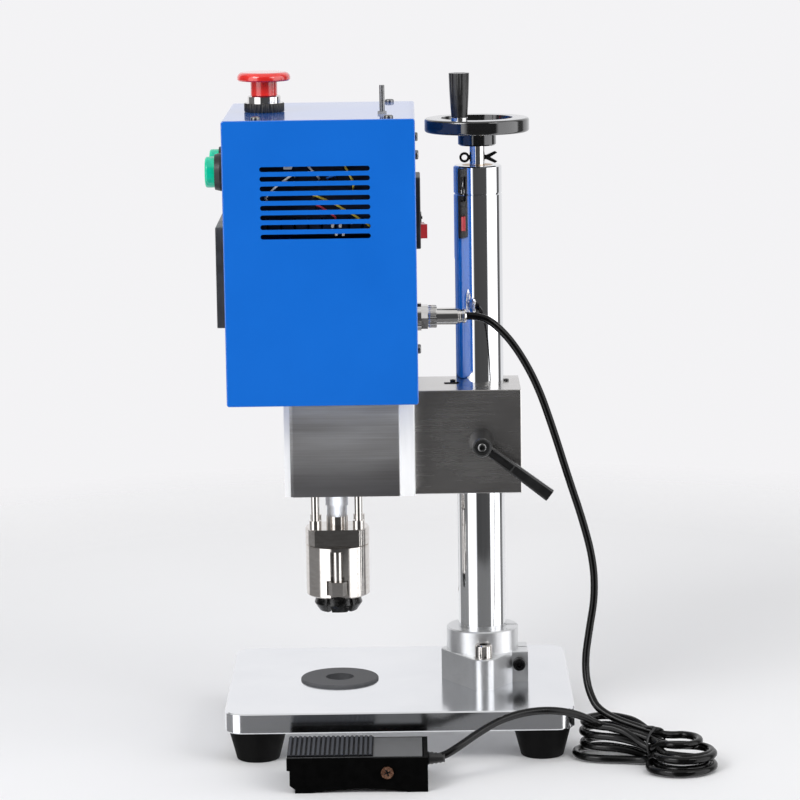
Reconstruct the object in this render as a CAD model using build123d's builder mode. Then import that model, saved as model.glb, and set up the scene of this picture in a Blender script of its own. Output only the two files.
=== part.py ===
from build123d import *
import os
from math import cos, pi, radians, sin, sqrt, tan

# Bottle capping machine: a crimping head on a column stand, with its foot pedal and lead.
# Millimetres. The origin is on the crimping axis at the top of the base plate,
# +Z is up, -Y is the operator's side and +X is the clamp lever's side.
os.makedirs("parts", exist_ok=True)

# Clearances
run_gap = 0.05
slip_gap = 0.1
body_gap = 0.3
edge_break = 1.0

# Base plate, feet and locating pad
plate_width = 222
plate_length = 271
plate_thick = 16
plate_corner = 15
plate_front = -87.5
foot_height = 25
foot_top_radius = 23
foot_bottom_radius = 16.5
foot_inset = 25
foot_screw_radius = 3
foot_screw_length = 20
foot_screw_head_radius = 6
foot_screw_head_height = 4
foot_recess_depth = 14
pad_radius = 31
pad_sunk = 3
pad_proud = 2
nest_radius = 11.25
plate_middle = plate_front + plate_length / 2
floor_z = -plate_thick - foot_height
foot_x = plate_width / 2 - foot_inset
foot_y = plate_length / 2 - foot_inset

# Column, its foot and its cap
column_y = 114.5
column_radius = 19
column_bore = 14
column_top = 389.3
column_slot_width = 9.8
column_slot_bottom = 70
column_slot_top = 340
cap_height = 22
cap_spigot = 15
seam_depth = 0.8
collar_radius = 28.5
collar_height = 43
flange_height = 24.5
flange_reach = 33
nose_x = 36
nose_radius = 10
flange_corner = 3
ear_half_width = 17
ear_start = 18.7
ear_reach = 35.8
ear_groove = 1
split_width = 2
clamp_screw_offset = 28.6
clamp_screw_z = 15
clamp_screw_radius = 2.5
clamp_screw_head_radius = 5
clamp_screw_head_height = 6
cap_screw_radius = 4
cap_screw_head_radius = 6.9
cap_screw_head_height = 11
cap_screw_depth = 12
cap_screw_socket = 6

# Lead screw and hand wheel
screw_radius = 6
screw_bottom = 60
bush_radius = 9
bush_flange_radius = 12
bush_flange_height = 1.5
thrust_radius = 10
thrust_height = 4
wheel_radius = 41
wheel_bottom = 437.2
rim_height = 11
rim_width = 13
web_thick = 4
hub_radius = 15
hub_drop = 10.5
cotter_drop = 9.5
cotter_wire = 1.8
cotter_eye_radius = 4
cotter_reach = 11
grip_offset_x = 29.5
grip_offset_y = -14
grip_length = 34
grip_top_radius = 8
grip_bottom_radius = 6.2
grip_waist_radius = 7.4
grip_flutes = 8
grip_flute_radius = 2.2
grip_flute_depth = 0.8
grip_pin_radius = 3
grip_washer_radius = 6.5
grip_washer_height = 2.5

# Blocks that carry the head on the column
head_top = 238.5
block_bottom = 159
column_block_drop = 2.4
column_block_half = 36.5
column_block_front = 62.6
column_block_rear = 146
spindle_block_half = 56.5
spindle_block_front = -34.5
rear_plate_thick = 12.6
front_plate_thick = 4.4
block_chamfer = 2.5
key_width = 9.6
key_pocket = 8
lift_nut_height = 36
lift_nut_bottom = 176
block_screw_radius = 1.5
block_screw_x = -9
block_screw_offset = 21
block_screw_length = 20

# Clamp stud and lever
lever_z = 198.3
stud_radius = 5
lever_angle = -37.3
lever_length = 66
lever_hub_height = 32
lever_hub_base_radius = 9.5
lever_hub_top_radius = 7
lever_boss_height = 6
lever_lift = 4
lever_root_width = 8
lever_tip_width = 10
lever_arm_thick = 7
lever_arm_z = 21
lever_screw_radius = 3

# Sheet metal housing
box_width = 177
box_front = -81
box_rear = 66
box_top = 455.1
sheet = 1.5
box_corner = 2
cover_drop = 2.5
cover_flange = 13
vent_length = 83.8
vent_height = 3.8
vent_pitch = 7.35
vent_count = 8
vent_top_drop = 37
vent_front_margin = 28.6
screw_head_radius = 3.6
screw_head_height = 2.4
screw_shank_radius = 1.6
roof_screw_x = 80
roof_screw_ys = (-55, 46)
rear_screw_zs = (278, 427)
stud_x = 36
stud_y = 41
roof_stud_radius = 2
roof_stud_height = 22

# Front controls
panel_width = 118
panel_bottom = 293
panel_height = 78
panel_proud = 7.5
panel_corner = 1.5
panel_body_margin = 5
panel_body_depth = 9
window_width = 92
window_height = 46
window_depth = 1.2
button_x = 33
button_z = 411.5
bezel_radius = 14.7
bezel_proud = 8
bezel_front_radius = 13.7
barrel_radius = 11
barrel_depth = 26
lens_radius = 12
lens_proud = 7.5
lens_travel = 3
button_stem_radius = 6

# Emergency stop
estop_y = -51.2
estop_ring_radius = 15
estop_ring_height = 7
estop_bezel_radius = 13
estop_bezel_height = 13
estop_stem_radius = 10.4
estop_cap_radius = 20.8
estop_cap_base = 24
estop_cap_height = 7
estop_cap_round = 4.5
estop_travel = 4
estop_pin_radius = 4

# Mains inlet with its rocker, and the lead's socket on the rear
inlet_x = 24
inlet_width = 48
inlet_bottom = 351
inlet_height = 55.4
inlet_proud = 3.5
inlet_body_depth = 26
inlet_body_margin = 4
socket_width = 27
socket_height = 20
socket_depth = 17
socket_z = 390
rocker_width = 19
rocker_height = 11
rocker_z = 363
rocker_proud = 5
rocker_depth = 7
rocker_tilt = 8
lead_x = 45
lead_z = 298.2
gland_nut_radius = 11
gland_nut_height = 3
gland_hex_flats = 18
gland_hex_height = 5
gland_thread_radius = 7.2
gland_thread_depth = 14
plug_ring_radius = 8.6
plug_ring_length = 7
plug_barrel_radius = 6.6
plug_barrel_length = 16
plug_tail_radius = 5.4
plug_tail_length = 7

# Crimping head
flange_top = 125
crimp_flange_height = 14
crimp_flange_radius = 25.5
crimp_flat = 18.4
sleeve_radius = 25.3
sleeve_bore = 18.2
sleeve_height = 40.5
sleeve_rim = 2.5
spindle_radius = 8.5
spindle_thread_radius = 5
nut_flats = 18
nut_height = 16
lock_nut_flats = 16
lock_nut_height = 9
post_radius = 3
post_x = 13
post_y = 17.2
post_collar_radius = 4.6
post_collar_height = 7
groove_width = 11
groove_floor = 18.6
stop_radius = 4
stop_x = 22.9
stop_nut_flats = 14.4
stop_nut_bottom = 74
stop_nut_height = 11
jaw_count = 6
jaw_gap = 3
jaw_first_gap = 35
jaw_pivot_z = 101
jaw_outer_radius = 17.2
jaw_inner_radius = 13.4
jaw_hook_radius = 10.4
jaw_hook_height = 8
jaw_flare_radius = 19
jaw_bottom = 57.6
jaw_bevel_radius = 15
jaw_lip_radius = 10.8
jaw_lip_height = 3.5
jaw_flare_z = 63.5
carrier_core_radius = 9
carrier_collar_radius = 12.2
carrier_face_z = 74

# Drive inside the housing
gearbox_size = 76
gearbox_height = 46
motor_radius = 31
motor_height = 92

# Foot pedal
pedal_front = -36.9
pedal_rear = 69
pedal_x = 160.2
pedal_width = 62.6
pedal_top = -14.6
pedal_wall = 3.2
pedal_floor_thick = 3
pedal_step = 3
pedal_arch_rise = 3
treadle_thick = 3
treadle_lip = 6
pad_rear = 28
rib_count = 18
rib_height = 1
pad_base_thick = 1
pivot_y = 38.5
pivot_z = -25.5
pivot_radius = 2.5
pivot_head_radius = 4.7
pivot_head_height = 2
cord_exit_x = 165
cord_exit_z = -22

# Lead
cord_diameter = 6
hank_start = (82, 188)
hank_angle = 59.6
hank_left_radius = 22
hank_waist = 66
hank_waist_radius = 14
hank_right = 94
hank_right_radius = 33
hank_left_height = 34
hank_right_height = 22
tie_width = 4
tie_thick = 1.2
tie_height = 28
tie_round = 1


def cap_screw(radius, length, head_radius, head_height, socket):
    # A socket head cap screw, its head standing on the plane z = 0
    with BuildPart() as screw:
        Cylinder(head_radius, head_height, align=(Align.CENTER, Align.CENTER, Align.MIN))
        chamfer(screw.edges().group_by(Axis.Z)[-1], head_height * 0.08)
        with BuildSketch(Plane.XY.offset(head_height)):
            RegularPolygon(socket / sqrt(3), 6)
        extrude(amount=-head_height * 0.5, mode=Mode.SUBTRACT)
        Cylinder(radius, length, align=(Align.CENTER, Align.CENTER, Align.MAX))
    return screw.part


def pan_screw(radius, length, head_radius, head_height):
    # A domed head with a cross recess, its underside on the plane z = 0
    with BuildPart() as screw:
        Cylinder(head_radius, head_height, align=(Align.CENTER, Align.CENTER, Align.MIN))
        fillet(screw.edges().group_by(Axis.Z)[-1], head_height * 0.45)
        with BuildSketch(Plane.XY.offset(head_height)):
            Rectangle(head_radius, head_radius * 0.2)
            Rectangle(head_radius * 0.2, head_radius)
        extrude(amount=-head_height * 0.4, mode=Mode.SUBTRACT)
        Cylinder(radius, length, align=(Align.CENTER, Align.CENTER, Align.MAX))
    return screw.part


def cord_tube(name, points):
    # Straight runs joined by the largest arcs that they leave room for
    runs = [Vector(*b) - Vector(*a) for a, b in zip(points, points[1:])]
    radii = [
        0.45 * min(a.length, b.length) / tan(radians(a.get_angle(b) / 2)) for a, b in zip(runs, runs[1:])
    ]
    with BuildPart() as tube:
        with BuildLine() as route:
            FilletPolyline(*points, radius=radii)
        path = route.wire()
        with BuildSketch(Plane(origin=path @ 0, z_dir=path % 0)):
            Circle(cord_diameter / 2)
        sweep(path=path)
    section = pi * cord_diameter**2 / 4
    print(name, "length", round(path.length, 1), "least radius", round(min(radii), 1))
    print(name, "radii", [round(r) for r in radii])
    print(name, "volume over section times length", round(tube.part.volume / section / path.length, 5))
    return tube


# Base plate with the pad's recess and the tapped holes of the column foot and the feet
foot_places = [(x, plate_middle + y) for x in (-foot_x, foot_x) for y in (-foot_y, foot_y)]
nose_places = [(-nose_x, column_y), (nose_x, column_y)]
with BuildPart() as base_plate:
    with BuildSketch(Plane.XY.offset(-plate_thick)):
        with Locations((0, plate_middle)):
            RectangleRounded(plate_width, plate_length, plate_corner)
    extrude(amount=plate_thick)
    chamfer(base_plate.edges().group_by(Axis.Z)[-1], edge_break)
    chamfer(base_plate.edges().group_by(Axis.Z)[0], edge_break)
    Hole(pad_radius + slip_gap, depth=pad_sunk)
    with Locations(*nose_places):
        Hole(cap_screw_radius + run_gap, depth=cap_screw_depth)
    with BuildSketch(Plane.XY.offset(-plate_thick)):
        with Locations(*foot_places):
            Circle(foot_screw_radius + run_gap)
    extrude(amount=foot_screw_length - foot_height + foot_recess_depth + edge_break, mode=Mode.SUBTRACT)

# Tapered rubber feet, each recessed for its screw
with BuildPart() as one_foot:
    with BuildSketch(Plane.XZ):
        with BuildLine():
            Polyline(
                (foot_screw_radius + run_gap, 0),
                (foot_top_radius, 0),
                (foot_bottom_radius, -foot_height),
                (foot_screw_head_radius + edge_break, -foot_height),
                (foot_screw_head_radius + edge_break, foot_recess_depth - foot_height),
                (foot_screw_radius + run_gap, foot_recess_depth - foot_height),
                close=True,
            )
        make_face()
    revolve(axis=Axis.Z)
    fillet(one_foot.edges().group_by(Axis.Z)[0].sort_by(SortBy.RADIUS)[-1], edge_break * 1.5)

foot_tops = [(x, y, -plate_thick) for x, y in foot_places]
with BuildPart() as rubber_feet:
    with Locations(*foot_tops):
        add(one_foot.part)

foot_screw = pan_screw(foot_screw_radius, foot_screw_length, foot_screw_head_radius, foot_screw_head_height)
foot_seat_z = -plate_thick - foot_height + foot_recess_depth
with BuildPart() as foot_screws:
    with Locations(*[Location((x, y, foot_seat_z), (180, 0, 0)) for x, y in foot_places]):
        add(foot_screw)

# Pad that centres the bottle, sunk in the plate
with BuildPart() as locating_pad:
    with BuildSketch(Plane.XY.offset(-pad_sunk)):
        Circle(pad_radius)
    extrude(amount=pad_sunk + pad_proud)
    chamfer(locating_pad.edges().group_by(Axis.Z)[-1], pad_proud * 0.4)
    with Locations((0, 0, pad_proud)):
        Hole(nest_radius, depth=pad_sunk + pad_proud)

# Column foot: a diamond flange under a round collar, split and clamped on the far side
with BuildPart() as column_foot:
    with BuildSketch():
        with BuildLine():
            for nose in nose_places:
                CenterArc(nose, nose_radius, 0, 360)
            for side in (-1, 1):
                CenterArc((0, column_y + side * (flange_reach - flange_corner)), flange_corner, 0, 360)
        make_hull()
        with Locations((0, column_y + (ear_start + ear_reach) / 2)):
            Rectangle(2 * ear_half_width, ear_reach - ear_start)
    extrude(amount=flange_height)
    chamfer(column_foot.edges().group_by(Axis.Z)[-1], edge_break * 0.7)
    with BuildSketch():
        with Locations((0, column_y)):
            Circle(collar_radius)
    extrude(amount=collar_height)
    chamfer(column_foot.edges().group_by(Axis.Z)[-1], edge_break)
    with Locations((0, column_y, collar_height)):
        Hole(column_radius + run_gap, depth=collar_height)
    with Locations(*[(x, y, flange_height) for x, y in nose_places]):
        CounterBoreHole(cap_screw_radius + run_gap, cap_screw_head_radius + body_gap, body_gap)
    with BuildSketch():
        with Locations((0, column_y + (column_radius + ear_reach) / 2)):
            Rectangle(split_width, ear_reach - column_radius + 2 * edge_break)
        with Locations(*[(x, column_y + ear_start) for x in (-ear_half_width, ear_half_width)]):
            Rectangle(2 * ear_groove, ear_groove)
    extrude(amount=collar_height, mode=Mode.SUBTRACT)
    with BuildSketch(Plane.YZ.offset(-ear_half_width)):
        with Locations((column_y + clamp_screw_offset, clamp_screw_z)):
            Circle(clamp_screw_radius + run_gap)
    extrude(amount=2 * ear_half_width, mode=Mode.SUBTRACT)

with BuildPart() as foot_cap_screws:
    with Locations(*[(x, y, flange_height - body_gap) for x, y in nose_places]):
        add(cap_screw(cap_screw_radius, flange_height + cap_screw_depth - edge_break,
                      cap_screw_head_radius, cap_screw_head_height, cap_screw_socket))

clamp_screw_place = Plane(
    origin=(ear_half_width, column_y + clamp_screw_offset, clamp_screw_z), x_dir=(0, 1, 0), z_dir=(1, 0, 0)
)
with BuildPart() as foot_clamp_screw:
    with Locations(clamp_screw_place):
        add(cap_screw(clamp_screw_radius, 2 * ear_half_width - edge_break, clamp_screw_head_radius,
                      clamp_screw_head_height, clamp_screw_head_radius))

# Column tube with the slot that the lift nut's key runs in
with BuildPart() as column_tube:
    with BuildSketch():
        with Locations((0, column_y)):
            Circle(column_radius)
            Circle(column_bore, mode=Mode.SUBTRACT)
    extrude(amount=column_top)
    with BuildSketch(Plane.XZ.offset(-column_y)):
        with Locations((0, (column_slot_bottom + column_slot_top) / 2)):
            SlotOverall(column_slot_top - column_slot_bottom, column_slot_width + 2 * slip_gap, rotation=90)
    extrude(amount=column_radius, mode=Mode.SUBTRACT)
    chamfer(column_tube.edges().group_by(Axis.Z)[-1].sort_by(SortBy.RADIUS)[-1], seam_depth)

# Cap with a spigot in the tube and the bush of the lead screw
cap_top = column_top + cap_height
with BuildPart() as column_cap:
    with BuildSketch(Plane.XY.offset(column_top)):
        with Locations((0, column_y)):
            Circle(column_radius)
    extrude(amount=cap_height)
    chamfer(column_cap.edges().group_by(Axis.Z)[0], seam_depth)
    chamfer(column_cap.edges().group_by(Axis.Z)[-1], edge_break)
    with BuildSketch(Plane.XY.offset(column_top - cap_spigot)):
        with Locations((0, column_y)):
            Circle(column_bore - run_gap)
    extrude(amount=cap_spigot + edge_break)
    with Locations((0, column_y, cap_top)):
        CounterBoreHole(bush_radius + run_gap, bush_flange_radius + run_gap, bush_flange_height)

bush_bottom = column_top - cap_spigot
with BuildPart() as screw_bush:
    with BuildSketch(Plane.XY.offset(bush_bottom)):
        with Locations((0, column_y)):
            Circle(bush_radius)
    extrude(amount=cap_top - bush_bottom)
    with BuildSketch(Plane.XY.offset(cap_top - bush_flange_height)):
        with Locations((0, column_y)):
            Circle(bush_flange_radius)
    extrude(amount=bush_flange_height)
    with Locations((0, column_y, cap_top)):
        Hole(screw_radius + run_gap)

# Lead screw with its thrust collar under the bush and the cross hole of the cotter pin
wheel_top = wheel_bottom + rim_height
hub_top = wheel_bottom + web_thick + edge_break
cotter_z = wheel_bottom - hub_drop - cotter_drop
with BuildPart() as lead_screw:
    with BuildSketch(Plane.XY.offset(screw_bottom)):
        with Locations((0, column_y)):
            Circle(screw_radius)
    extrude(amount=hub_top - screw_bottom)
    with BuildSketch(Plane.XY.offset(bush_bottom - body_gap - thrust_height)):
        with Locations((0, column_y)):
            Circle(thrust_radius)
    extrude(amount=thrust_height)
    chamfer(lead_screw.edges().group_by(Axis.Z)[0], edge_break)
    with BuildSketch(Plane.XZ.offset(-column_y - screw_radius)):
        with Locations((0, cotter_z)):
            Circle(cotter_wire + run_gap)
    extrude(amount=2 * screw_radius, mode=Mode.SUBTRACT)

# Dished hand wheel
with BuildPart() as hand_wheel:
    with BuildSketch(Plane.XZ.offset(-column_y)):
        with BuildLine():
            Polyline(
                (screw_radius + run_gap, wheel_bottom - hub_drop),
                (hub_radius - edge_break, wheel_bottom - hub_drop),
                (hub_radius, wheel_bottom - hub_drop + edge_break),
                (hub_radius, wheel_bottom),
                (wheel_radius, wheel_bottom),
                (wheel_radius, wheel_top),
                (wheel_radius - rim_width, wheel_top),
                (wheel_radius - rim_width - edge_break, wheel_bottom + web_thick),
                (hub_radius - edge_break, wheel_bottom + web_thick),
                (hub_radius - 2 * edge_break, hub_top),
                (screw_radius + run_gap, hub_top),
                close=True,
            )
        make_face()
    revolve(axis=Axis((0, column_y, 0), (0, 0, 1)))
    wheel_circles = hand_wheel.edges().filter_by(GeomType.CIRCLE)
    rim_edges = wheel_circles.filter_by(lambda e: e.radius > wheel_radius - edge_break)
    fillet(rim_edges, 2 * edge_break)
    with Locations((grip_offset_x, column_y + grip_offset_y, wheel_top)):
        Hole(grip_pin_radius + run_gap, depth=rim_height)

# Cotter pin: eye at the front, legs spread behind
with BuildPart() as cotter_pin:
    with BuildSketch(Plane.XZ.offset(-column_y - screw_radius - edge_break)):
        with Locations((0, cotter_z)):
            Circle(cotter_wire)
    extrude(amount=2 * (screw_radius + edge_break))
    with BuildSketch(Plane.YZ.offset(-cotter_wire)):
        with Locations((column_y - screw_radius - cotter_eye_radius, cotter_z)):
            Circle(cotter_eye_radius)
            Circle(cotter_eye_radius - cotter_wire, mode=Mode.SUBTRACT)
        leg_root = column_y + screw_radius + edge_break * 0.5
        leg_tip = leg_root + cotter_reach - 2 * cotter_wire
        with BuildLine():
            Polyline(
                (leg_root, cotter_z - cotter_wire * 0.8),
                (leg_tip, cotter_z - 2.6 * cotter_wire),
                (leg_tip + cotter_wire, cotter_z - 1.9 * cotter_wire),
                (leg_root + 2 * cotter_wire, cotter_z),
                (leg_tip + cotter_wire, cotter_z + 1.9 * cotter_wire),
                (leg_tip, cotter_z + 2.6 * cotter_wire),
                (leg_root, cotter_z + cotter_wire * 0.8),
                close=True,
            )
        make_face()
    extrude(amount=2 * cotter_wire)

# Revolving grip on its spindle
grip_place = (grip_offset_x, column_y + grip_offset_y, wheel_top)
grip_bottom = grip_washer_height + body_gap
with BuildPart() as grip_spindle:
    with BuildSketch(Plane.XY.offset(wheel_top)):
        with Locations(grip_place[:2]):
            Circle(grip_washer_radius)
    extrude(amount=grip_washer_height)
    with BuildSketch(Plane.XY.offset(wheel_bottom + edge_break)):
        with Locations(grip_place[:2]):
            Circle(grip_pin_radius)
    extrude(amount=rim_height + grip_length - 4 * edge_break)

with BuildPart() as fluted_grip:
    with BuildSketch(Plane.XZ):
        with BuildLine():
            Spline(
                (grip_bottom_radius, grip_bottom),
                (grip_waist_radius, grip_bottom + grip_length * 0.55),
                (grip_top_radius, grip_bottom + grip_length),
            )
            Line((grip_top_radius, grip_bottom + grip_length), (0, grip_bottom + grip_length))
            Line((0, grip_bottom + grip_length), (0, grip_bottom))
            Line((0, grip_bottom), (grip_bottom_radius, grip_bottom))
        make_face()
    revolve(axis=Axis.Z)
    with PolarLocations(grip_top_radius + grip_flute_radius - grip_flute_depth, grip_flutes):
        Cylinder(grip_flute_radius, grip_bottom + grip_length + edge_break,
                 align=(Align.CENTER, Align.CENTER, Align.MIN), mode=Mode.SUBTRACT)
    with BuildSketch():
        Circle(grip_pin_radius + run_gap)
    extrude(amount=grip_length - edge_break, mode=Mode.SUBTRACT)

with BuildPart() as wheel_grip:
    with Locations(grip_place):
        add(fluted_grip.part)

# Column block: bored for the column, with a keyway for the lift nut
block_height = head_top - block_bottom
column_block_middle = (column_block_front + column_block_rear) / 2
block_screw_places = [(block_screw_x, column_y + side * block_screw_offset, head_top) for side in (-1, 1)]
with BuildPart() as column_block:
    with BuildSketch(Plane.XY.offset(block_bottom - column_block_drop)):
        with Locations((0, column_block_middle)):
            Rectangle(2 * column_block_half, column_block_rear - column_block_front)
        with Locations((0, column_y)):
            Circle(column_radius + run_gap, mode=Mode.SUBTRACT)
        with Locations((0, column_y - column_radius - key_pocket / 2)):
            Rectangle(key_width + 2 * slip_gap, key_pocket + 2 * edge_break, mode=Mode.SUBTRACT)
    extrude(amount=block_height + column_block_drop)
    chamfer(column_block.faces().sort_by(Axis.X)[-1].edges(), edge_break * 0.5)
    chamfer(column_block.faces().sort_by(Axis.X)[0].edges(), edge_break * 0.5)
    with BuildSketch(Plane.YZ.offset(column_block_half)):
        with Locations((column_y, lever_z)):
            Circle(stud_radius + run_gap)
    extrude(amount=-column_block_half, mode=Mode.SUBTRACT)
    with Locations(*block_screw_places):
        Hole(block_screw_radius + run_gap, depth=block_screw_length)

with BuildPart() as block_screws:
    with Locations(*block_screw_places):
        add(cap_screw(block_screw_radius, block_screw_length - edge_break, block_screw_radius * 1.5,
                      block_screw_radius, block_screw_radius * 1.5))

# Lift nut on the lead screw, its key through the column's slot into the block
with BuildPart() as lift_nut:
    with BuildSketch(Plane.XY.offset(lift_nut_bottom)):
        with Locations((0, column_y)):
            Circle(column_bore - body_gap)
        with Locations((0, column_y - (column_radius + key_pocket) / 2)):
            Rectangle(key_width, column_radius + key_pocket)
        with Locations((0, column_y)):
            Circle(screw_radius + run_gap, mode=Mode.SUBTRACT)
    extrude(amount=lift_nut_height)

# Spindle block between its front and rear plates
spindle_block_rear = column_block_front - rear_plate_thick
post_places = [(x, y) for x in (-post_x, post_x) for y in (-post_y, post_y)]
with BuildPart() as spindle_block:
    with BuildSketch(Plane.XY.offset(block_bottom)):
        with Locations((0, (spindle_block_front + spindle_block_rear) / 2)):
            Rectangle(2 * spindle_block_half, spindle_block_rear - spindle_block_front)
        Circle(spindle_thread_radius + run_gap, mode=Mode.SUBTRACT)
        with Locations(*post_places):
            Circle(post_radius + run_gap, mode=Mode.SUBTRACT)
    extrude(amount=block_height)
    block_edges = spindle_block.edges().filter_by(Axis.Z).filter_by(GeomType.LINE)
    chamfer(block_edges.sort_by(Axis.Y)[:2], block_chamfer)

with BuildPart() as front_plate:
    with BuildSketch(Plane.XY.offset(block_bottom)):
        with Locations((0, spindle_block_front - front_plate_thick / 2)):
            Rectangle(2 * (spindle_block_half - block_chamfer), front_plate_thick)
    extrude(amount=block_height)

with BuildPart() as rear_plate:
    with BuildSketch(Plane.XY.offset(block_bottom)):
        with Locations((0, column_block_front - rear_plate_thick / 2)):
            Rectangle(2 * spindle_block_half, rear_plate_thick)
    extrude(amount=block_height)
    chamfer(rear_plate.edges().filter_by(Axis.Z), edge_break)

# Clamp stud that presses on the column, and the lever that turns it
stud_tip = column_radius + body_gap
with BuildPart() as clamp_stud:
    with BuildSketch(Plane.YZ.offset(stud_tip)):
        with Locations((column_y, lever_z)):
            Circle(stud_radius)
    extrude(amount=column_block_half + lever_boss_height - stud_tip)
    with BuildSketch(Plane.YZ.offset(column_block_half + body_gap)):
        with Locations((column_y, lever_z)):
            Circle(lever_hub_base_radius)
            Circle(stud_radius, mode=Mode.SUBTRACT)
    extrude(amount=lever_boss_height - body_gap)
    with BuildSketch(Plane.YZ.offset(column_block_half + lever_boss_height)):
        with Locations((column_y, lever_z)):
            Circle(lever_screw_radius)
    extrude(amount=lever_hub_height - lever_boss_height - edge_break)
    with BuildSketch(Plane.YZ.offset(column_block_half + lever_hub_height - edge_break)):
        with Locations((column_y, lever_z)):
            Circle(lever_screw_radius + edge_break)
    extrude(amount=-2 * edge_break)

# In its own frame the lever's hub stands on z = 0 and its arm runs along +X
with BuildPart() as straight_lever:
    with BuildSketch():
        Circle(lever_hub_base_radius)
    with BuildSketch(Plane.XY.offset(lever_hub_height - lever_boss_height - body_gap)):
        Circle(lever_hub_top_radius)
    loft()
    with BuildSketch(Plane.YZ.offset(lever_hub_top_radius * 0.5)):
        with Locations((0, lever_arm_z - lever_boss_height)):
            RectangleRounded(lever_root_width, lever_arm_thick, edge_break * 2)
    with BuildSketch(Plane.YZ.offset(lever_length)):
        with Locations((0, lever_arm_z - lever_boss_height + edge_break)):
            RectangleRounded(lever_tip_width, lever_arm_thick, edge_break * 2)
    loft()
    with BuildSketch(Plane.XY.offset(lever_arm_z - lever_boss_height + lever_arm_thick / 2)):
        with Locations((lever_length * 0.28, 0)):
            Rectangle(lever_length * 0.3, lever_root_width * 0.5)
    extrude(amount=edge_break * 1.2)
    with BuildSketch():
        Circle(lever_screw_radius + run_gap)
    extrude(amount=lever_hub_height, mode=Mode.SUBTRACT)
    with BuildSketch(Plane.XY.offset(lever_hub_height - lever_boss_height - 4 * edge_break - lever_lift)):
        Circle(lever_screw_radius + edge_break + run_gap)
    extrude(amount=lever_hub_height, mode=Mode.SUBTRACT)

lever_place = Plane(
    origin=(column_block_half + lever_boss_height + slip_gap, column_y, lever_z),
    x_dir=(0, cos(radians(lever_angle)), sin(radians(lever_angle))),
    z_dir=(1, 0, 0),
)
with BuildPart() as clamp_lever:
    with Locations(lever_place):
        add(straight_lever.part)

# Housing shell: front, roof, rear and floor folded from one sheet
box_length = box_rear - box_front
box_height = box_top - head_top
box_middle = ((box_front + box_rear) / 2, (head_top + box_top) / 2)
shell_half = box_width / 2 - sheet
roof_screws = [(side * roof_screw_x, y) for side in (-1, 1) for y in roof_screw_ys]
rear_screws = [(side * roof_screw_x, z) for side in (-1, 1) for z in rear_screw_zs]
with BuildPart() as housing_shell:
    with BuildSketch(Plane.YZ.offset(-shell_half)):
        with Locations(box_middle):
            RectangleRounded(box_length, box_height, box_corner)
            RectangleRounded(
                box_length - 2 * sheet, box_height - 2 * sheet, box_corner - sheet, mode=Mode.SUBTRACT
            )
    extrude(amount=2 * shell_half)
    with BuildSketch(Plane.XY.offset(box_top)):
        with Locations((0, estop_y)):
            Circle(barrel_radius + slip_gap)
        with Locations((stud_x, stud_y)):
            Circle(roof_stud_radius + run_gap)
        with Locations(*roof_screws):
            Circle(screw_shank_radius + run_gap)
    extrude(amount=-2 * sheet, mode=Mode.SUBTRACT)
    with BuildSketch(Plane.XZ.offset(-box_front)):
        with Locations((-button_x, button_z), (button_x, button_z)):
            Circle(barrel_radius + slip_gap)
        with Locations((0, panel_bottom + panel_height / 2)):
            Rectangle(panel_width - 2 * panel_body_margin, panel_height - 2 * panel_body_margin)
    extrude(amount=-2 * sheet, mode=Mode.SUBTRACT)
    with BuildSketch(Plane.XZ.offset(-box_rear)):
        with Locations((inlet_x, inlet_bottom + inlet_height / 2)):
            Rectangle(inlet_width - 2 * inlet_body_margin, inlet_height - 2 * inlet_body_margin)
        with Locations((lead_x, lead_z)):
            Circle(gland_thread_radius + slip_gap)
        with Locations(*rear_screws):
            Circle(screw_shank_radius + run_gap)
    extrude(amount=2 * sheet, mode=Mode.SUBTRACT)
    with BuildSketch(Plane.XY.offset(head_top)):
        Circle(post_y + 4 * post_radius)
    extrude(amount=2 * sheet, mode=Mode.SUBTRACT)

# Side covers: a face with vent slots and a flange folded in behind the shell
vent_top = box_top - vent_top_drop
vent_middle = (box_front + vent_front_margin + vent_length / 2, vent_top - vent_pitch * (vent_count - 1) / 2)
flange_outer = (box_length - 2 * (sheet + slip_gap), box_height - 2 * (sheet + slip_gap))
with BuildPart() as side_cover_near:
    with BuildSketch(Plane.YZ.offset(shell_half)):
        with Locations((box_middle[0], box_middle[1] - cover_drop / 2)):
            RectangleRounded(box_length, box_height + cover_drop, box_corner)
        with Locations(vent_middle):
            with GridLocations(0, vent_pitch, 1, vent_count):
                SlotOverall(vent_length, vent_height, mode=Mode.SUBTRACT)
    extrude(amount=sheet)
    fillet(side_cover_near.faces().sort_by(Axis.X)[-1].outer_wire().edges(), sheet * 0.6)
    with BuildSketch(Plane.YZ.offset(shell_half)):
        with Locations(box_middle):
            RectangleRounded(*flange_outer, box_corner - sheet)
            Rectangle(flange_outer[0] - 2 * sheet, flange_outer[1] - 2 * sheet, mode=Mode.SUBTRACT)
    extrude(amount=-cover_flange)
    with BuildSketch(Plane.XY.offset(box_top)):
        with Locations(*roof_screws[2:]):
            Circle(screw_shank_radius + run_gap)
    extrude(amount=-3 * sheet, mode=Mode.SUBTRACT)
    with BuildSketch(Plane.XZ.offset(-box_rear)):
        with Locations(*rear_screws[2:]):
            Circle(screw_shank_radius + run_gap)
    extrude(amount=3 * sheet, mode=Mode.SUBTRACT)

with BuildPart() as side_cover_far:
    mirror(side_cover_near.part, about=Plane.YZ)

cover_screw = pan_screw(screw_shank_radius, 4 * sheet, screw_head_radius, screw_head_height)
with BuildPart() as housing_screws:
    with Locations(*[(x, y, box_top) for x, y in roof_screws]):
        add(cover_screw)
    with Locations(*[Location((x, box_rear, z), (-90, 0, 0)) for x, z in rear_screws]):
        add(cover_screw)

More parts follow.
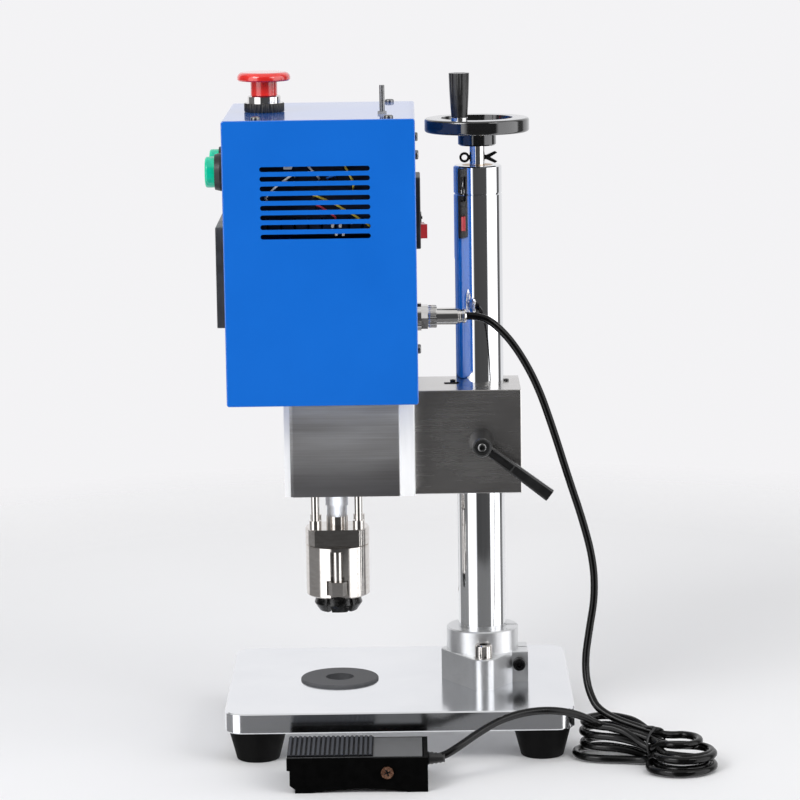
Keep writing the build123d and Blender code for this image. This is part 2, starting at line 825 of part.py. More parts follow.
with BuildPart() as roof_stud:
    with BuildSketch(Plane.XY.offset(box_top - 3 * sheet)):
        with Locations((stud_x, stud_y)):
            Circle(roof_stud_radius)
    extrude(amount=roof_stud_height + 3 * sheet)
    with BuildSketch(Plane.XY.offset(box_top)):
        with Locations((stud_x, stud_y)):
            RegularPolygon(2 * roof_stud_radius, 6)
    extrude(amount=roof_stud_radius)

# Raised control panel with a blank window
panel_body_inset = panel_body_margin + slip_gap
with BuildPart() as control_bezel:
    with BuildSketch(Plane.XZ.offset(-box_front)):
        with Locations((0, panel_bottom + panel_height / 2)):
            RectangleRounded(panel_width, panel_height, panel_corner)
    extrude(amount=panel_proud)
    fillet(control_bezel.faces().sort_by(Axis.Y)[0].edges(), edge_break * 0.5)
    with BuildSketch(Plane.XZ.offset(-box_front)):
        with Locations((0, panel_bottom + panel_height / 2)):
            Rectangle(panel_width - 2 * panel_body_inset, panel_height - 2 * panel_body_inset)
    extrude(amount=-panel_body_depth)
    with BuildSketch(Plane.XZ.offset(panel_proud - box_front)):
        with Locations((0, panel_bottom + panel_height / 2)):
            RectangleRounded(window_width, window_height, panel_corner)
    extrude(amount=-window_depth, mode=Mode.SUBTRACT)

# Push buttons: bezel and barrel on the front, lens that slides in it
with BuildPart() as one_bezel:
    with BuildSketch(Plane.XZ):
        with BuildLine():
            Polyline(
                (0, -barrel_depth),
                (barrel_radius, -barrel_depth),
                (barrel_radius, 0),
                (bezel_radius, 0),
                (bezel_radius, bezel_proud * 0.5),
                (bezel_front_radius, bezel_proud),
                (lens_radius + slip_gap, bezel_proud),
                (lens_radius + slip_gap, bezel_proud - lens_travel - 2 * sheet),
                (button_stem_radius + slip_gap, bezel_proud - lens_travel - 2 * sheet),
                (button_stem_radius + slip_gap, -barrel_depth + 2 * sheet),
                (0, -barrel_depth + 2 * sheet),
                close=True,
            )
        make_face()
    revolve(axis=Axis.Z)
with BuildPart() as one_lens:
    with BuildSketch(Plane.XY.offset(bezel_proud - sheet)):
        Circle(lens_radius)
    extrude(amount=lens_proud + sheet)
    fillet(one_lens.edges().group_by(Axis.Z)[-1], 2 * edge_break)
    with BuildSketch(Plane.XY.offset(-barrel_depth + 2 * sheet + lens_travel + body_gap)):
        Circle(button_stem_radius)
    extrude(amount=barrel_depth + bezel_proud - 3 * sheet - lens_travel - body_gap)

button_places = [Plane(origin=(x, box_front, button_z), z_dir=(0, -1, 0)) for x in (button_x, -button_x)]
with BuildPart() as button_bezels:
    with Locations(*button_places):
        add(one_bezel.part)
with BuildPart() as start_lens_near:
    with Locations(button_places[0]):
        add(one_lens.part)
with BuildPart() as start_lens_far:
    with Locations(button_places[1]):
        add(one_lens.part)

# Emergency stop: collar on the roof, sliding stem, mushroom cap that twists on the stem
stem_top = box_top + estop_cap_base
with BuildPart() as estop_collar:
    with BuildSketch(Plane.YZ):
        with BuildLine():
            Polyline(
                (estop_y + estop_stem_radius + slip_gap, box_top + estop_bezel_height),
                (estop_y + estop_bezel_radius - edge_break, box_top + estop_bezel_height),
                (estop_y + estop_bezel_radius, box_top + estop_bezel_height - edge_break),
                (estop_y + estop_bezel_radius, box_top + estop_ring_height),
                (estop_y + estop_ring_radius, box_top + estop_ring_height),
                (estop_y + estop_ring_radius, box_top),
                (estop_y + barrel_radius, box_top),
                (estop_y + barrel_radius, box_top - barrel_depth),
                (estop_y, box_top - barrel_depth),
                (estop_y, box_top - barrel_depth + 2 * sheet),
                (estop_y + estop_pin_radius + slip_gap, box_top - barrel_depth + 2 * sheet),
                (estop_y + estop_pin_radius + slip_gap, box_top),
                (estop_y + estop_stem_radius + slip_gap, box_top),
                close=True,
            )
        make_face()
    revolve(axis=Axis((0, estop_y, 0), (0, 0, 1)))

stem_base = box_top + estop_travel + body_gap
with BuildPart() as estop_stem:
    with BuildSketch(Plane.XY.offset(stem_base)):
        with Locations((0, estop_y)):
            Circle(estop_stem_radius)
    extrude(amount=stem_top - stem_base)
    with BuildSketch(Plane.XY.offset(stem_top)):
        with Locations((0, estop_y)):
            Circle(estop_pin_radius)
    extrude(amount=estop_cap_height * 0.5)
    with BuildSketch(Plane.XY.offset(stem_base)):
        with Locations((0, estop_y)):
            Circle(estop_pin_radius)
    extrude(amount=-barrel_depth * 0.7)

cap_low = stem_top + body_gap
with BuildPart() as estop_mushroom:
    with BuildSketch(Plane.XY.offset(cap_low)):
        with Locations((0, estop_y)):
            Circle(estop_cap_radius)
    extrude(amount=estop_cap_height - body_gap)
    chamfer(estop_mushroom.edges().group_by(Axis.Z)[0], edge_break)
    fillet(estop_mushroom.edges().group_by(Axis.Z)[-1], estop_cap_round)
    with BuildSketch(Plane.XY.offset(cap_low)):
        with Locations((0, estop_y)):
            Circle(estop_pin_radius + run_gap)
    extrude(amount=estop_cap_height * 0.5, mode=Mode.SUBTRACT)

# Mains inlet with a socket above and a rocker below
inlet_middle = (inlet_x, inlet_bottom + inlet_height / 2)
inlet_body_inset = inlet_body_margin + slip_gap
inlet_body = (inlet_width - 2 * inlet_body_inset, inlet_height - 2 * inlet_body_inset)
with BuildPart() as power_inlet:
    with BuildSketch(Plane.XZ.offset(-box_rear - inlet_proud)):
        with Locations(inlet_middle):
            RectangleRounded(inlet_width, inlet_height, 2 * edge_break)
    extrude(amount=inlet_proud)
    fillet(power_inlet.faces().sort_by(Axis.Y)[-1].edges(), edge_break)
    with BuildSketch(Plane.XZ.offset(-box_rear)):
        with Locations(inlet_middle):
            Rectangle(*inlet_body)
    extrude(amount=inlet_body_depth)
    with BuildSketch(Plane.XZ.offset(-box_rear - inlet_proud)):
        with Locations((inlet_x, socket_z)):
            RectangleRounded(socket_width, socket_height, 2 * edge_break)
    extrude(amount=socket_depth, mode=Mode.SUBTRACT)
    with BuildSketch(Plane.XZ.offset(-box_rear - inlet_proud)):
        with Locations((inlet_x, rocker_z)):
            Rectangle(rocker_width + 2 * body_gap, rocker_height + 2 * body_gap)
    extrude(amount=rocker_depth + 2 * edge_break, mode=Mode.SUBTRACT)

# The rocker leans to its off side; seen from above its face is a shallow V
with BuildPart() as level_rocker:
    with BuildSketch(Plane.XY.offset(-rocker_height / 2)):
        with BuildLine():
            Polyline(
                (-rocker_width / 2 + edge_break, rocker_proud),
                (0, rocker_proud - rocker_width / 2 * tan(radians(rocker_tilt))),
                (rocker_width / 2 - edge_break, rocker_proud),
                (rocker_width / 2 - edge_break, -rocker_depth * 0.3),
                (rocker_width * 0.2, -rocker_depth),
                (-rocker_width * 0.2, -rocker_depth),
                (-rocker_width / 2 + edge_break, -rocker_depth * 0.3),
                close=True,
            )
        make_face()
    extrude(amount=rocker_height)
rocker_pivot = (inlet_x, box_rear + inlet_proud - edge_break, rocker_z)
with BuildPart() as power_rocker:
    with Locations(Location(rocker_pivot, (0, 0, rocker_tilt))):
        add(level_rocker.part)

# Panel socket of the pedal's lead
lead_out = Plane(origin=(lead_x, box_rear, lead_z), x_dir=(1, 0, 0), z_dir=(0, 1, 0))
with BuildPart() as connector_socket:
    with BuildSketch(lead_out):
        Circle(gland_nut_radius)
    extrude(amount=gland_nut_height)
    with BuildSketch(lead_out.offset(gland_nut_height)):
        RegularPolygon(gland_hex_flats / sqrt(3), 6)
    extrude(amount=gland_hex_height)
    with BuildSketch(lead_out):
        Circle(gland_thread_radius)
    extrude(amount=-gland_thread_depth)

plug_start = gland_nut_height + gland_hex_height
with BuildPart() as connector_plug:
    with BuildSketch(lead_out.offset(plug_start)):
        Circle(plug_ring_radius)
    extrude(amount=plug_ring_length)
    with BuildSketch(lead_out.offset(plug_start + plug_ring_length)):
        Circle(plug_barrel_radius)
    extrude(amount=plug_barrel_length)
    with BuildSketch(lead_out.offset(plug_start + plug_ring_length + plug_barrel_length)):
        Circle(plug_tail_radius)
    extrude(amount=plug_tail_length)
    chamfer(connector_plug.edges().filter_by(GeomType.CIRCLE).sort_by(Axis.Y)[-1], edge_break)

# Gearbox and motor on the housing's floor
with BuildPart() as drive_motor:
    with BuildSketch(Plane.XY.offset(head_top + sheet)):
        RectangleRounded(gearbox_size, gearbox_size, 2 * edge_break)
        Circle(post_y + 3 * post_radius, mode=Mode.SUBTRACT)
    extrude(amount=gearbox_height * 0.5)
    with BuildSketch(Plane.XY.offset(head_top + sheet + gearbox_height * 0.5)):
        RectangleRounded(gearbox_size, gearbox_size, 2 * edge_break)
    extrude(amount=gearbox_height * 0.5)
    with BuildSketch(Plane.XY.offset(head_top + sheet + gearbox_height)):
        Circle(motor_radius)
    extrude(amount=motor_height)
    chamfer(drive_motor.edges().group_by(Axis.Z)[-1], edge_break)

# Fixed spindle with the carrier that the jaws hang from
flange_bottom = flange_top - crimp_flange_height
nut_bottom = block_bottom - body_gap - nut_height
lock_nut_bottom = nut_bottom - lock_nut_height
with BuildPart() as jaw_carrier:
    with BuildSketch(Plane.XZ):
        with BuildLine():
            hook_low = jaw_pivot_z - jaw_hook_height / 2 - body_gap
            hook_high = jaw_pivot_z + jaw_hook_height / 2 + body_gap
            Polyline(
                (0, head_top),
                (spindle_thread_radius, head_top),
                (spindle_thread_radius, lock_nut_bottom),
                (spindle_radius, lock_nut_bottom),
                (spindle_radius, hook_high + edge_break),
                (jaw_inner_radius, hook_high + edge_break),
                (jaw_inner_radius, hook_high),
                (jaw_hook_radius - 2 * body_gap, hook_high),
                (jaw_hook_radius - 2 * body_gap, hook_low),
                (carrier_collar_radius, hook_low),
                (carrier_collar_radius, hook_low - jaw_hook_height),
                (carrier_core_radius, hook_low - jaw_hook_height - edge_break),
                (carrier_core_radius, carrier_face_z),
                (0, carrier_face_z),
                close=True,
            )
        make_face()
    revolve(axis=Axis.Z)

# Hexagon and lock nut on the spindle, clear of the flange
with BuildPart() as spindle_nut:
    with BuildSketch(Plane.XY.offset(nut_bottom)):
        RegularPolygon(nut_flats / sqrt(3), 6)
    extrude(amount=nut_height)
    with BuildSketch(Plane.XY.offset(lock_nut_bottom)):
        RegularPolygon(lock_nut_flats / sqrt(3), 6)
    extrude(amount=lock_nut_height)
    with Locations((0, 0, block_bottom)):
        Hole(spindle_thread_radius)

# Flange that slides on the spindle, with spanner flats
with BuildPart() as crimp_flange:
    with BuildSketch(Plane.XY.offset(flange_bottom)):
        Circle(crimp_flange_radius)
        Circle(spindle_radius + run_gap, mode=Mode.SUBTRACT)
    extrude(amount=crimp_flange_height)
    flange_circles = crimp_flange.edges().filter_by(GeomType.CIRCLE)
    chamfer(flange_circles.filter_by(lambda e: e.radius > sleeve_bore), edge_break * 0.8)
    with BuildSketch(Plane.XY.offset(flange_bottom)):
        with Locations((crimp_flat + crimp_flange_radius, 0), (-crimp_flat - crimp_flange_radius, 0)):
            Rectangle(2 * crimp_flange_radius, 2 * crimp_flange_radius)
        with Locations(*post_places):
            Circle(post_radius + run_gap)
    extrude(amount=crimp_flange_height, mode=Mode.SUBTRACT)

with BuildPart() as guide_posts:
    with BuildSketch(Plane.XY.offset(flange_bottom)):
        with Locations(*post_places):
            Circle(post_radius)
    extrude(amount=head_top + sheet - flange_bottom)
    with BuildSketch(Plane.XY.offset(flange_top)):
        with Locations(*post_places):
            Circle(post_collar_radius)
    extrude(amount=post_collar_height)

# Sleeve with the groove of the stop screw
with BuildPart() as crimp_sleeve:
    with BuildSketch(Plane.XY.offset(flange_bottom - sleeve_height)):
        Circle(sleeve_radius)
        Circle(sleeve_bore, mode=Mode.SUBTRACT)
    extrude(amount=sleeve_height)
    chamfer(crimp_sleeve.edges().group_by(Axis.Z)[0], edge_break)
    with BuildSketch(Plane.XY.offset(flange_bottom - sleeve_height)):
        with Locations((groove_floor + sleeve_radius / 2, 0)):
            Rectangle(sleeve_radius, groove_width)
    extrude(amount=sleeve_height - sleeve_rim, mode=Mode.SUBTRACT)
    with BuildSketch(Plane.XY.offset(stop_nut_bottom - body_gap)):
        with Locations((groove_floor + sleeve_radius / 2, 0)):
            Rectangle(sleeve_radius, 2 * stop_nut_flats / sqrt(3) + 2 * body_gap)
    extrude(amount=stop_nut_height + 2 * body_gap, mode=Mode.SUBTRACT)

with BuildPart() as stop_screw:
    with BuildSketch(Plane.XY.offset(stop_nut_bottom)):
        with Locations((stop_x, 0)):
            Circle(stop_radius)
    extrude(amount=flange_bottom - sleeve_rim - stop_nut_bottom)
    with BuildSketch(Plane.XY.offset(stop_nut_bottom)):
        with Locations((stop_x, 0)):
            RegularPolygon(stop_nut_flats / sqrt(3), 6, rotation=30)
        with Locations((groove_floor + slip_gap - sleeve_radius, 0)):
            Rectangle(2 * sleeve_radius, 2 * sleeve_radius, mode=Mode.SUBTRACT)
    extrude(amount=stop_nut_height)

# Ring of crimping jaws, one solid of revolution cut by the gaps between them
with BuildPart() as jaw_ring:
    with BuildSketch(Plane.XZ):
        with BuildLine():
            Polyline(
                (jaw_hook_radius, jaw_pivot_z - jaw_hook_height / 2),
                (jaw_hook_radius, jaw_pivot_z + jaw_hook_height / 2),
                (jaw_outer_radius, jaw_pivot_z + jaw_hook_height / 2),
                (jaw_outer_radius, jaw_flare_z + 2 * jaw_lip_height),
                (jaw_flare_radius, jaw_flare_z),
                (jaw_bevel_radius, jaw_bottom),
                (jaw_lip_radius, jaw_bottom),
                (jaw_lip_radius, jaw_bottom + jaw_lip_height),
                (jaw_inner_radius, jaw_bottom + 2 * jaw_lip_height),
                (jaw_inner_radius, jaw_pivot_z - jaw_hook_height / 2),
                close=True,
            )
        make_face()
    revolve(axis=Axis.Z)

jaws = []
jaw_pitch = 360 / jaw_count
for number in range(jaw_count):
    middle = jaw_first_gap + jaw_pitch * (number + 0.5)
    side_planes = [
        Plane(
            origin=(0, 0, 0), x_dir=(0, 0, 1), z_dir=(sin(radians(edge)) * turn, -cos(radians(edge)) * turn, 0)
        )
        for edge, turn in ((middle - jaw_pitch / 2, -1), (middle + jaw_pitch / 2, 1))
    ]
    with BuildPart() as jaw:
        add(jaw_ring.part)
        for side_plane in side_planes:
            split(bisect_by=side_plane.offset(jaw_gap / 2), keep=Keep.TOP)
    jaws.append(jaw)

# Foot pedal: a tray with side walls, stepped at its toe and arched underneath
pedal_length = pedal_rear - pedal_front
pedal_middle = (pedal_front + pedal_rear) / 2
inside_width = pedal_width - 2 * pedal_wall
tray_bottom = floor_z + pedal_arch_rise + pedal_floor_thick
with BuildPart() as pedal_base:
    with BuildSketch(Plane.YZ.offset(pedal_x - pedal_width / 2)):
        with BuildLine():
            Polyline(
                (pedal_rear, floor_z),
                (pedal_rear, pedal_top),
                (pedal_front, pedal_top),
                (pedal_front, pedal_top - 3 * pedal_step),
                (pedal_front + pedal_step * 0.7, pedal_top - 3 * pedal_step),
                (pedal_front + pedal_step * 0.7, floor_z + 2 * pedal_step),
                (pedal_front + 2 * pedal_step, floor_z + pedal_step),
                (pedal_front + 2 * pedal_step, floor_z),
                (pedal_front + 6 * pedal_step, floor_z),
            )
            ThreePointArc(
                (pedal_front + 6 * pedal_step, floor_z),
                (pedal_middle, floor_z + pedal_arch_rise),
                (pedal_rear - 5 * pedal_step, floor_z),
            )
            Line((pedal_rear - 5 * pedal_step, floor_z), (pedal_rear, floor_z))
        make_face()
    extrude(amount=pedal_width)
    with BuildSketch(Plane.YZ.offset(pedal_x - inside_width / 2)):
        with Locations(((pedal_front + pedal_rear - pedal_wall) / 2, (tray_bottom + pedal_top) / 2)):
            Rectangle(pedal_length - pedal_wall + slip_gap, pedal_top - tray_bottom)
    extrude(amount=inside_width, mode=Mode.SUBTRACT)
    with BuildSketch(Plane.YZ.offset(pedal_x - pedal_width / 2)):
        with Locations((pivot_y, pivot_z)):
            Circle(pivot_radius + run_gap)
    extrude(amount=pedal_width, mode=Mode.SUBTRACT)

with BuildPart() as pedal_pivot:
    with BuildSketch(Plane.YZ.offset(pedal_x - pedal_width / 2)):
        with Locations((pivot_y, pivot_z)):
            Circle(pivot_radius)
    extrude(amount=pedal_width)
    with BuildSketch(Plane.YZ.offset(pedal_x + pedal_width / 2)):
        with Locations((pivot_y, pivot_z)):
            Circle(pivot_head_radius)
            Rectangle(pivot_head_radius, pivot_head_radius * 0.2, mode=Mode.SUBTRACT)
            Rectangle(pivot_head_radius * 0.2, pivot_head_radius, mode=Mode.SUBTRACT)
    extrude(amount=pivot_head_height)
    with BuildSketch(Plane.YZ.offset(pedal_x - pedal_width / 2)):
        with Locations((pivot_y, pivot_z)):
            Circle(pivot_head_radius)
    extrude(amount=-pivot_head_height)

# Treadle: a plate between the walls with a toe lip and two bored cheeks on the pivot
treadle_width = inside_width - 2 * body_gap
treadle_front = pedal_front + body_gap
treadle_rear = pedal_rear - pedal_wall - 3 * body_gap
treadle_top = pedal_top + edge_break * 0.5
with BuildPart() as pedal_treadle:
    with BuildSketch(Plane.YZ.offset(pedal_x - treadle_width / 2)):
        with BuildLine():
            Polyline(
                (treadle_front, treadle_top),
                (treadle_rear, treadle_top),
                (treadle_rear, treadle_top - treadle_thick),
                (treadle_front + treadle_thick, treadle_top - treadle_thick),
                (treadle_front + treadle_thick, treadle_top - treadle_lip),
                (treadle_front, treadle_top - treadle_lip),
                close=True,
            )
        make_face()
    extrude(amount=treadle_width)
    cheek_top = treadle_top - treadle_thick / 2
    cheek_radius = 2 * pivot_radius
    for cheek_x in (pedal_x - treadle_width / 2, pedal_x + treadle_width / 2 - treadle_thick):
        with BuildSketch(Plane.YZ.offset(cheek_x)):
            with Locations((pivot_y, pivot_z)):
                Circle(cheek_radius)
            with Locations((pivot_y, (pivot_z + cheek_top) / 2)):
                Rectangle(2 * cheek_radius, cheek_top - pivot_z)
            with Locations((pivot_y, pivot_z)):
                Circle(pivot_radius + run_gap, mode=Mode.SUBTRACT)
        extrude(amount=treadle_thick)

# Ribbed rubber pad on the treadle
pad_length = pad_rear - treadle_front
rib_pitch = pad_length / rib_count
with BuildPart() as pedal_pad:
    with BuildSketch(Plane.XY.offset(treadle_top)):
        with Locations((pedal_x, treadle_front + pad_length / 2)):
            Rectangle(treadle_width, pad_length)
    extrude(amount=pad_base_thick)
    with BuildSketch(Plane.YZ.offset(pedal_x - treadle_width / 2)):
        for rib in range(rib_count):
            with Locations((treadle_front + rib * rib_pitch, treadle_top + pad_base_thick)):
                Polygon(
                    (0, 0),
                    (rib_pitch * 0.8, 0),
                    (rib_pitch * 0.6, rib_height),
                    (rib_pitch * 0.2, rib_height),
                    align=None,
                )
    extrude(amount=treadle_width)

# Spare lead tied in a hank beside the plate: two lobes and a waist, sloping down to the far lobe
hank_plane = Plane(
    origin=(*hank_start, floor_z),
    x_dir=(cos(radians(hank_angle)), sin(radians(hank_angle)), 0),
    z_dir=(0, 0, 1),
)
tie_side = Plane(
    origin=hank_plane.from_local_coords((hank_waist - tie_width / 2, 0, 0)),
    x_dir=hank_plane.y_dir,
    z_dir=hank_plane.x_dir,
)
hank_length = hank_right + hank_right_radius
with BuildPart() as cord_hank:
    with BuildSketch(hank_plane):
        with BuildLine():
            CenterArc((hank_left_radius, 0), hank_left_radius, 0, 360)
            CenterArc((hank_waist, 0), hank_waist_radius, 0, 360)
        make_hull()
        with BuildLine():
            CenterArc((hank_waist, 0), hank_waist_radius, 0, 360)
            CenterArc((hank_right, 0), hank_right_radius, 0, 360)
        make_hull()
    extrude(amount=hank_left_height)
    hank_slope = (hank_left_height - hank_right_height) / hank_length
    slope_plane = Plane(
        origin=hank_plane.from_local_coords((0, 0, hank_left_height)),
        x_dir=hank_plane.y_dir,
        z_dir=hank_plane.z_dir + hank_plane.x_dir * hank_slope,
    )
    split(bisect_by=slope_plane, keep=Keep.BOTTOM)
    with BuildSketch(tie_side.offset(-slip_gap)):
        with Locations((0, tie_height / 2)):
            Rectangle(4 * hank_waist_radius, 2 * tie_height)
            Rectangle(
                2 * (hank_waist_radius - slip_gap),
                tie_height - 2 * (tie_thick + slip_gap),
                mode=Mode.SUBTRACT,
            )
    extrude(amount=tie_width + 2 * slip_gap, mode=Mode.SUBTRACT)

with BuildPart() as cord_tie:
    with BuildSketch(tie_side):
        with Locations((0, tie_height / 2)):
            RectangleRounded(2 * (hank_waist_radius + tie_thick), tie_height, tie_round)
            Rectangle(2 * hank_waist_radius, tie_height - 2 * tie_thick, mode=Mode.SUBTRACT)
    extrude(amount=tie_width)

# The lead's two free stretches
plug_end = box_rear + plug_start + plug_ring_length + plug_barrel_length + plug_tail_length
upper_points = [
    (lead_x, plug_end, lead_z),
    (lead_x, plug_end + 10, lead_z),
    (45.5, 126, 292),
    (46, 142, 274),
    (47, 158, 245),
    (48, 170, 210),
    (47, 182, 170),
    (46, 193, 136),
    (47, 201, 104),
    (50, 202, 76),
    (56, 197, 50),
    (64, 193, 26),
    (74, 195, 6),
    (86, 204, -10),
]
cord_upper = cord_tube("cord_upper", upper_points)
lower_points = [
    (cord_exit_x, pedal_rear, cord_exit_z),
    (cord_exit_x, pedal_rear + 10, cord_exit_z),
    (159, 93, -15),
    (147, 110, -6),
    (135, 129, 1),
    (126, 149, 3.5),
    (119, 170, 2),
    (110, 189, -5),
    (102, 202, -15),
]
cord_lower = cord_tube("cord_lower", lower_points)

pieces = {
    "base_plate": base_plate,
    "rubber_feet": rubber_feet,
    "foot_screws": foot_screws,
    "locating_pad": locating_pad,
    "column_foot": column_foot,
    "foot_cap_screws": foot_cap_screws,
    "foot_clamp_screw": foot_clamp_screw,
    "column_tube": column_tube,
    "column_cap": column_cap,
    "screw_bush": screw_bush,
    "lead_screw": lead_screw,
    "hand_wheel": hand_wheel,
    "cotter_pin": cotter_pin,
    "grip_spindle": grip_spindle,
    "wheel_grip": wheel_grip,
    "column_block": column_block,
    "block_screws": block_screws,
    "lift_nut": lift_nut,
    "spindle_block": spindle_block,
    "front_plate": front_plate,
    "rear_plate": rear_plate,
    "clamp_stud": clamp_stud,
    "clamp_lever": clamp_lever,
    "housing_shell": housing_shell,
    "side_cover_near": side_cover_near,
    "side_cover_far": side_cover_far,
    "housing_screws": housing_screws,
    "roof_stud": roof_stud,
    "control_bezel": control_bezel,
    "button_bezels": button_bezels,
    "start_lens_near": start_lens_near,
    "start_lens_far": start_lens_far,
    "estop_collar": estop_collar,
    "estop_stem": estop_stem,
    "estop_mushroom": estop_mushroom,
    "power_inlet": power_inlet,
    "power_rocker": power_rocker,
    "connector_socket": connector_socket,
    "connector_plug": connector_plug,
    "drive_motor": drive_motor,
    "jaw_carrier": jaw_carrier,
    "spindle_nut": spindle_nut,
    "crimp_flange": crimp_flange,
    "guide_posts": guide_posts,
    "crimp_sleeve": crimp_sleeve,
    "stop_screw": stop_screw,
    "pedal_base": pedal_base,
    "pedal_pivot": pedal_pivot,
    "pedal_treadle": pedal_treadle,
    "pedal_pad": pedal_pad,
    "cord_hank": cord_hank,
    "cord_tie": cord_tie,
    "cord_upper": cord_upper,
    "cord_lower": cord_lower,
}
pieces.update({f"jaw_{number + 1}": jaw for number, jaw in enumerate(jaws)})
for name, piece in pieces.items():
    piece.part.label = name
    export_step(piece.part, f"parts/{name}.step")
print(len(pieces), "pieces")
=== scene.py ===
import bpy, bmesh, math
from mathutils import Matrix, Vector


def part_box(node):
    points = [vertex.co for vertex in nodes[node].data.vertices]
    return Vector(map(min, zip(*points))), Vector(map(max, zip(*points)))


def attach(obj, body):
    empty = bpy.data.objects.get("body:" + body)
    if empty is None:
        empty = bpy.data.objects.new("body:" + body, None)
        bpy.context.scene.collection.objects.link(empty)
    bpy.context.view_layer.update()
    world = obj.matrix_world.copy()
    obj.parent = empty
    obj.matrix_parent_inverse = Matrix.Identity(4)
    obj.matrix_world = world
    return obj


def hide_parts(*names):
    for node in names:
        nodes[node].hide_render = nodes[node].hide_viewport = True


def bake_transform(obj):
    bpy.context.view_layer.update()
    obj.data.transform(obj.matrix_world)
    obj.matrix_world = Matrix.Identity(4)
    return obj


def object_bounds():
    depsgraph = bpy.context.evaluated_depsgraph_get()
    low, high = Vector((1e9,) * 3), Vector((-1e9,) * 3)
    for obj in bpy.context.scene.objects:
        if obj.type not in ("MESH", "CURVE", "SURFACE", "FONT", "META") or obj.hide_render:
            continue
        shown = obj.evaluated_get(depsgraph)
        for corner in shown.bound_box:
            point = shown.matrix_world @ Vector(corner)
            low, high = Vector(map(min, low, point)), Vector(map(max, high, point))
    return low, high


# Bottle capping machine: the look of every piece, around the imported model
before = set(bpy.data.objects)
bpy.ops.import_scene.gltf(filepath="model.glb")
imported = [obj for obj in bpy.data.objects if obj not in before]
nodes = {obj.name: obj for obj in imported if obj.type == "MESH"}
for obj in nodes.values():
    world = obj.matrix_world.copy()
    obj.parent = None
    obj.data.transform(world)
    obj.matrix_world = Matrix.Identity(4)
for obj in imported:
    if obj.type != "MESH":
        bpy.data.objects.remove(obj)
cadBox = [list(corner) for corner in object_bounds()]
print("frame loaded,", len(nodes), "nodes")

# Camera, fitted to the photograph together with the machine's size
cameraSettings = {
    "place": (2.73433, 0.06194, 0.66821),
    "forward": (-0.987144, -0.003815, -0.159788),
    "roll": -0.84,          # degrees, clockwise from behind the camera
    "lens": 157.6,          # millimetres on a 36 mm sensor
}


def setCamera():
    camera = bpy.data.objects.new("camera", bpy.data.cameras.new("camera"))
    bpy.context.scene.collection.objects.link(camera)
    forward = Vector(cameraSettings["forward"]).normalized()
    right = forward.cross(Vector((0, 0, 1))).normalized()
    up = right.cross(forward)
    turn = math.radians(cameraSettings["roll"])
    imageRight = right * math.cos(turn) + up * math.sin(turn)
    imageUp = up * math.cos(turn) - right * math.sin(turn)
    rotation = Matrix((imageRight, imageUp, -forward)).transposed().to_4x4()
    camera.matrix_world = Matrix.Translation(cameraSettings["place"]) @ rotation
    camera.data.lens = cameraSettings["lens"]
    camera.data.sensor_width = 36
    camera.data.clip_end = 30
    bpy.context.scene.camera = camera


setCamera()
bpy.context.scene.view_settings.view_transform = "Standard"
floorHeight = cadBox[0][2]
print("camera set")


# Node helpers shared by the finishes
def startFinish(name):
    finish = bpy.data.materials.new(name)
    finish.use_nodes = True
    tree = finish.node_tree
    return finish, tree, tree.nodes["Principled BSDF"]


def addNode(tree, kind, **values):
    node = tree.nodes.new(kind)
    for key, value in values.items():
        if hasattr(node, key):
            setattr(node, key, value)
        else:
            node.inputs[key].default_value = value
    return node


# Noise in the machine's own frame, stretched along the axes
def grain(tree, scale, stretch=(1, 1, 1), detail=4, roughness=0.55):
    coords = addNode(tree, "ShaderNodeTexCoord")
    mapping = addNode(tree, "ShaderNodeMapping")
    mapping.inputs["Scale"].default_value = stretch
    noise = addNode(tree, "ShaderNodeTexNoise", Scale=scale, Detail=detail, Roughness=roughness)
    tree.links.new(coords.outputs["Object"], mapping.inputs["Vector"])
    tree.links.new(mapping.outputs["Vector"], noise.inputs["Vector"])
    return noise.outputs["Fac"]


def mixFactors(tree, first, second, share):
    blend = addNode(tree, "ShaderNodeMix", data_type="FLOAT")
    blend.inputs[0].default_value = share
    tree.links.new(first, blend.inputs[2])
    tree.links.new(second, blend.inputs[3])
    return blend.outputs[0]


def colourRamp(tree, factor, stops):
    ramp = addNode(tree, "ShaderNodeValToRGB")
    while len(ramp.color_ramp.elements) < len(stops):
        ramp.color_ramp.elements.new(0.5)
    for element, (place, colour) in zip(ramp.color_ramp.elements, stops):
        element.position = place
        element.color = (*colour, 1)
    tree.links.new(factor, ramp.inputs["Fac"])
    return ramp.outputs["Color"]


def spread(tree, factor, fromLow, fromHigh, low, high):
    mapRange = addNode(tree, "ShaderNodeMapRange")
    for socket, value in zip(("From Min", "From Max", "To Min", "To Max"), (fromLow, fromHigh, low, high)):
        mapRange.inputs[socket].default_value = value
    tree.links.new(factor, mapRange.inputs["Value"])
    return mapRange.outputs["Result"]


def addBump(tree, shader, factor, strength, depth):
    bump = addNode(tree, "ShaderNodeBump", Strength=strength, Distance=depth)
    tree.links.new(factor, bump.inputs["Height"])
    tree.links.new(bump.outputs["Normal"], shader.inputs["Normal"])


# Bare or plated metal: broad cloudy drift with fine tool marks over it
def metalFinish(name, dark, light, rough, broad=(30, (1, 1, 1)), fine=(400, (1, 1, 1)), share=0.4, bump=0.05,
                metallic=1.0):
    finish, tree, shader = startFinish(name)
    shader.inputs["Metallic"].default_value = metallic
    marks = mixFactors(tree, grain(tree, *broad), grain(tree, *fine), share)
    tree.links.new(colourRamp(tree, marks, [(0.36, dark), (0.64, light)]), shader.inputs["Base Color"])
    tree.links.new(spread(tree, marks, 0.36, 0.64, *rough), shader.inputs["Roughness"])
    addBump(tree, shader, marks, bump, 0.0002)
    return finish


